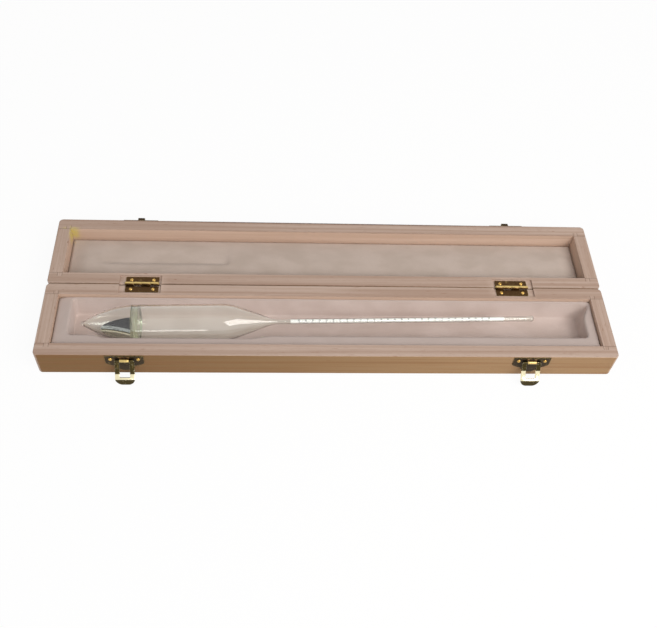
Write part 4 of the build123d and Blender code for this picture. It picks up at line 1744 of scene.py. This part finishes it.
@dataclass
class Studio:
    """The pale floor, the soft lights and the camera, whose place is in millimetres."""

    camera_place: Triple = (-42.7, -352.2, 504.5)
    camera_right: Triple = (0.9976, -0.0339, 0.0597)
    camera_ahead: Triple = (0.0682, 0.5935, -0.8019)
    lens: float = 46.93
    sensor: float = 36.0
    key_way: Triple = (0.44, -0.54, 0.72)
    key_distance: float = 1.3
    key_size: tuple[float, float] = (1.0, 0.75)
    key_power: float = 13.0
    strip_way: Triple = (-0.155, -0.98, 0.05)
    strip_distance: float = 1.4
    strip_size: tuple[float, float] = (0.17, 0.24)
    strip_power: float = 0.55
    fill_front: float = 0.84
    fill_back: float = 0.16
    floor_reach: float = 40.0
    floor_drop: float = 0.05 * MM
    floor_shade: Colour = (0.9, 0.9, 0.9)
    floor_white: float = 0.94
    fill_colour: Colour = (1.0, 0.985, 0.97)
    lamp_colour: Colour = (1.0, 0.97, 0.94)
    nearest: float = 0.01

    def floor(self) -> None:
        """A pale floor that the camera sees as white, with the object's soft shadow."""
        reach = self.floor_reach
        corners = [(-reach, -reach), (reach, -reach), (reach, reach), (-reach, reach)]
        made = piece("floor", [(x, y, -self.floor_drop) for x, y in corners], [[0, 1, 2, 3]])
        material = bpy.data.materials.new("floor_paper")
        material.use_nodes = True
        tree = material.node_tree
        tree.nodes.clear()
        output = tree.nodes.new("ShaderNodeOutputMaterial")
        matt = tree.nodes.new("ShaderNodeBsdfDiffuse")
        matt.inputs["Color"].default_value = (*self.floor_shade, 1)
        white = tree.nodes.new("ShaderNodeEmission")
        white.inputs["Strength"].default_value = 1.0
        blend = tree.nodes.new("ShaderNodeMixShader")
        share = tree.nodes.new("ShaderNodeMath")
        share.operation = "MULTIPLY"
        share.inputs[1].default_value = self.floor_white
        tree.links.new(self.seen(tree), share.inputs[0])
        tree.links.new(share.outputs[0], blend.inputs[0])
        tree.links.new(matt.outputs[0], blend.inputs[1])
        tree.links.new(white.outputs[0], blend.inputs[2])
        tree.links.new(blend.outputs[0], output.inputs["Surface"])
        made.data.materials.append(material)

    def seen(self, tree: bpy.types.NodeTree) -> Socket:
        """Whether a ray comes from the camera, or by way of glass or metal.

        Args:
            tree: The material's or the world's nodes.

        Returns:
            1 for such a ray.
        """
        path = tree.nodes.new("ShaderNodeLightPath")
        found = path.outputs["Is Camera Ray"]
        for name in ("Is Glossy Ray", "Is Transmission Ray"):
            more = tree.nodes.new("ShaderNodeMath")
            more.operation = "MAXIMUM"
            tree.links.new(found, more.inputs[0])
            tree.links.new(path.outputs[name], more.inputs[1])
            found = more.outputs[0]
        return found

    def world(self) -> None:
        """White to the eye, and a lower fill for the object, stronger from the front."""
        world = bpy.data.worlds.new("studio")
        world.use_nodes = True
        tree = world.node_tree
        tree.nodes.clear()
        output = tree.nodes.new("ShaderNodeOutputWorld")
        soft = tree.nodes.new("ShaderNodeBackground")
        soft.inputs["Color"].default_value = (*self.fill_colour, 1)
        way = tree.nodes.new("ShaderNodeSeparateXYZ")
        tree.links.new(tree.nodes.new("ShaderNodeTexCoord").outputs["Generated"], way.inputs[0])
        level = tree.nodes.new("ShaderNodeMapRange")
        level.inputs["From Min"].default_value = -1.0
        level.inputs["From Max"].default_value = 1.0
        level.inputs["To Min"].default_value = self.fill_front
        level.inputs["To Max"].default_value = self.fill_back
        tree.links.new(way.outputs["Y"], level.inputs["Value"])
        tree.links.new(level.outputs["Result"], soft.inputs["Strength"])
        white = tree.nodes.new("ShaderNodeBackground")
        white.inputs["Color"].default_value = (1, 1, 1, 1)
        white.inputs["Strength"].default_value = 1.0
        blend = tree.nodes.new("ShaderNodeMixShader")
        tree.links.new(self.seen(tree), blend.inputs[0])
        tree.links.new(soft.outputs[0], blend.inputs[1])
        tree.links.new(white.outputs[0], blend.inputs[2])
        tree.links.new(blend.outputs[0], output.inputs["Surface"])
        bpy.context.scene.world = world

    def lamp(self, name: str, way: Triple, distance: float, size: tuple[float, float], power: float) -> None:
        """A soft box that looks at the case.

        Args:
            name: The lamp's name.
            way: The direction from the case to the lamp.
            distance: How far it stands off.
            size: Its width and height.
            power: Its power in watts.
        """
        light = bpy.data.lights.new(name, "AREA")
        light.shape = "RECTANGLE"
        light.size, light.size_y = size
        light.energy = power
        light.color = self.lamp_colour
        made = bpy.data.objects.new(name, light)
        bpy.context.scene.collection.objects.link(made)
        away = Vector(way).normalized()
        made.location = away * distance
        made.rotation_euler = away.to_track_quat("Z", "Y").to_euler()

    def camera(self) -> None:
        """The camera at the photograph's place."""
        data = bpy.data.cameras.new("camera")
        data.lens = self.lens
        data.sensor_width = self.sensor
        data.clip_start = self.nearest
        made = bpy.data.objects.new("camera", data)
        bpy.context.scene.collection.objects.link(made)
        ahead = Vector(self.camera_ahead).normalized()
        right = Vector(self.camera_right).normalized()
        up = right.cross(ahead)
        turn = Matrix((right, up, -ahead)).transposed().to_4x4()
        made.matrix_world = Matrix.Translation(Vector(self.camera_place) * MM) @ turn
        bpy.context.scene.camera = made

    def build(self) -> None:
        """Sets the whole stage."""
        self.floor()
        self.world()
        self.lamp("key", self.key_way, self.key_distance, self.key_size, self.key_power)
        self.lamp("strip", self.strip_way, self.strip_distance, self.strip_size, self.strip_power)
        self.camera()
        bpy.context.scene.view_settings.view_transform = "Standard"
        log.info("studio: floor, lights and camera")


def main() -> None:
    """Builds the case, its brass, its cloth and the hydrometer, and sets the stage."""
    logging.basicConfig(level=logging.INFO, format="%(name)s %(message)s")
    Studio().build()
    Case().build()
    Hardware().build()
    lining = BrushedCloth("lining_cloth", paint(204, 188, 181), paint(195, 178, 170), margin_height=18.1 * MM)
    cover = BrushedCloth("pad_cloth", paint(192, 177, 167), paint(183, 168, 157))
    FoamInsert().build(OpenFoam().material())
    PocketLining().build(lining.material())
    LidPad().build(cover.material())
    Hydrometer().build()


if __name__ == "__main__":
    main()
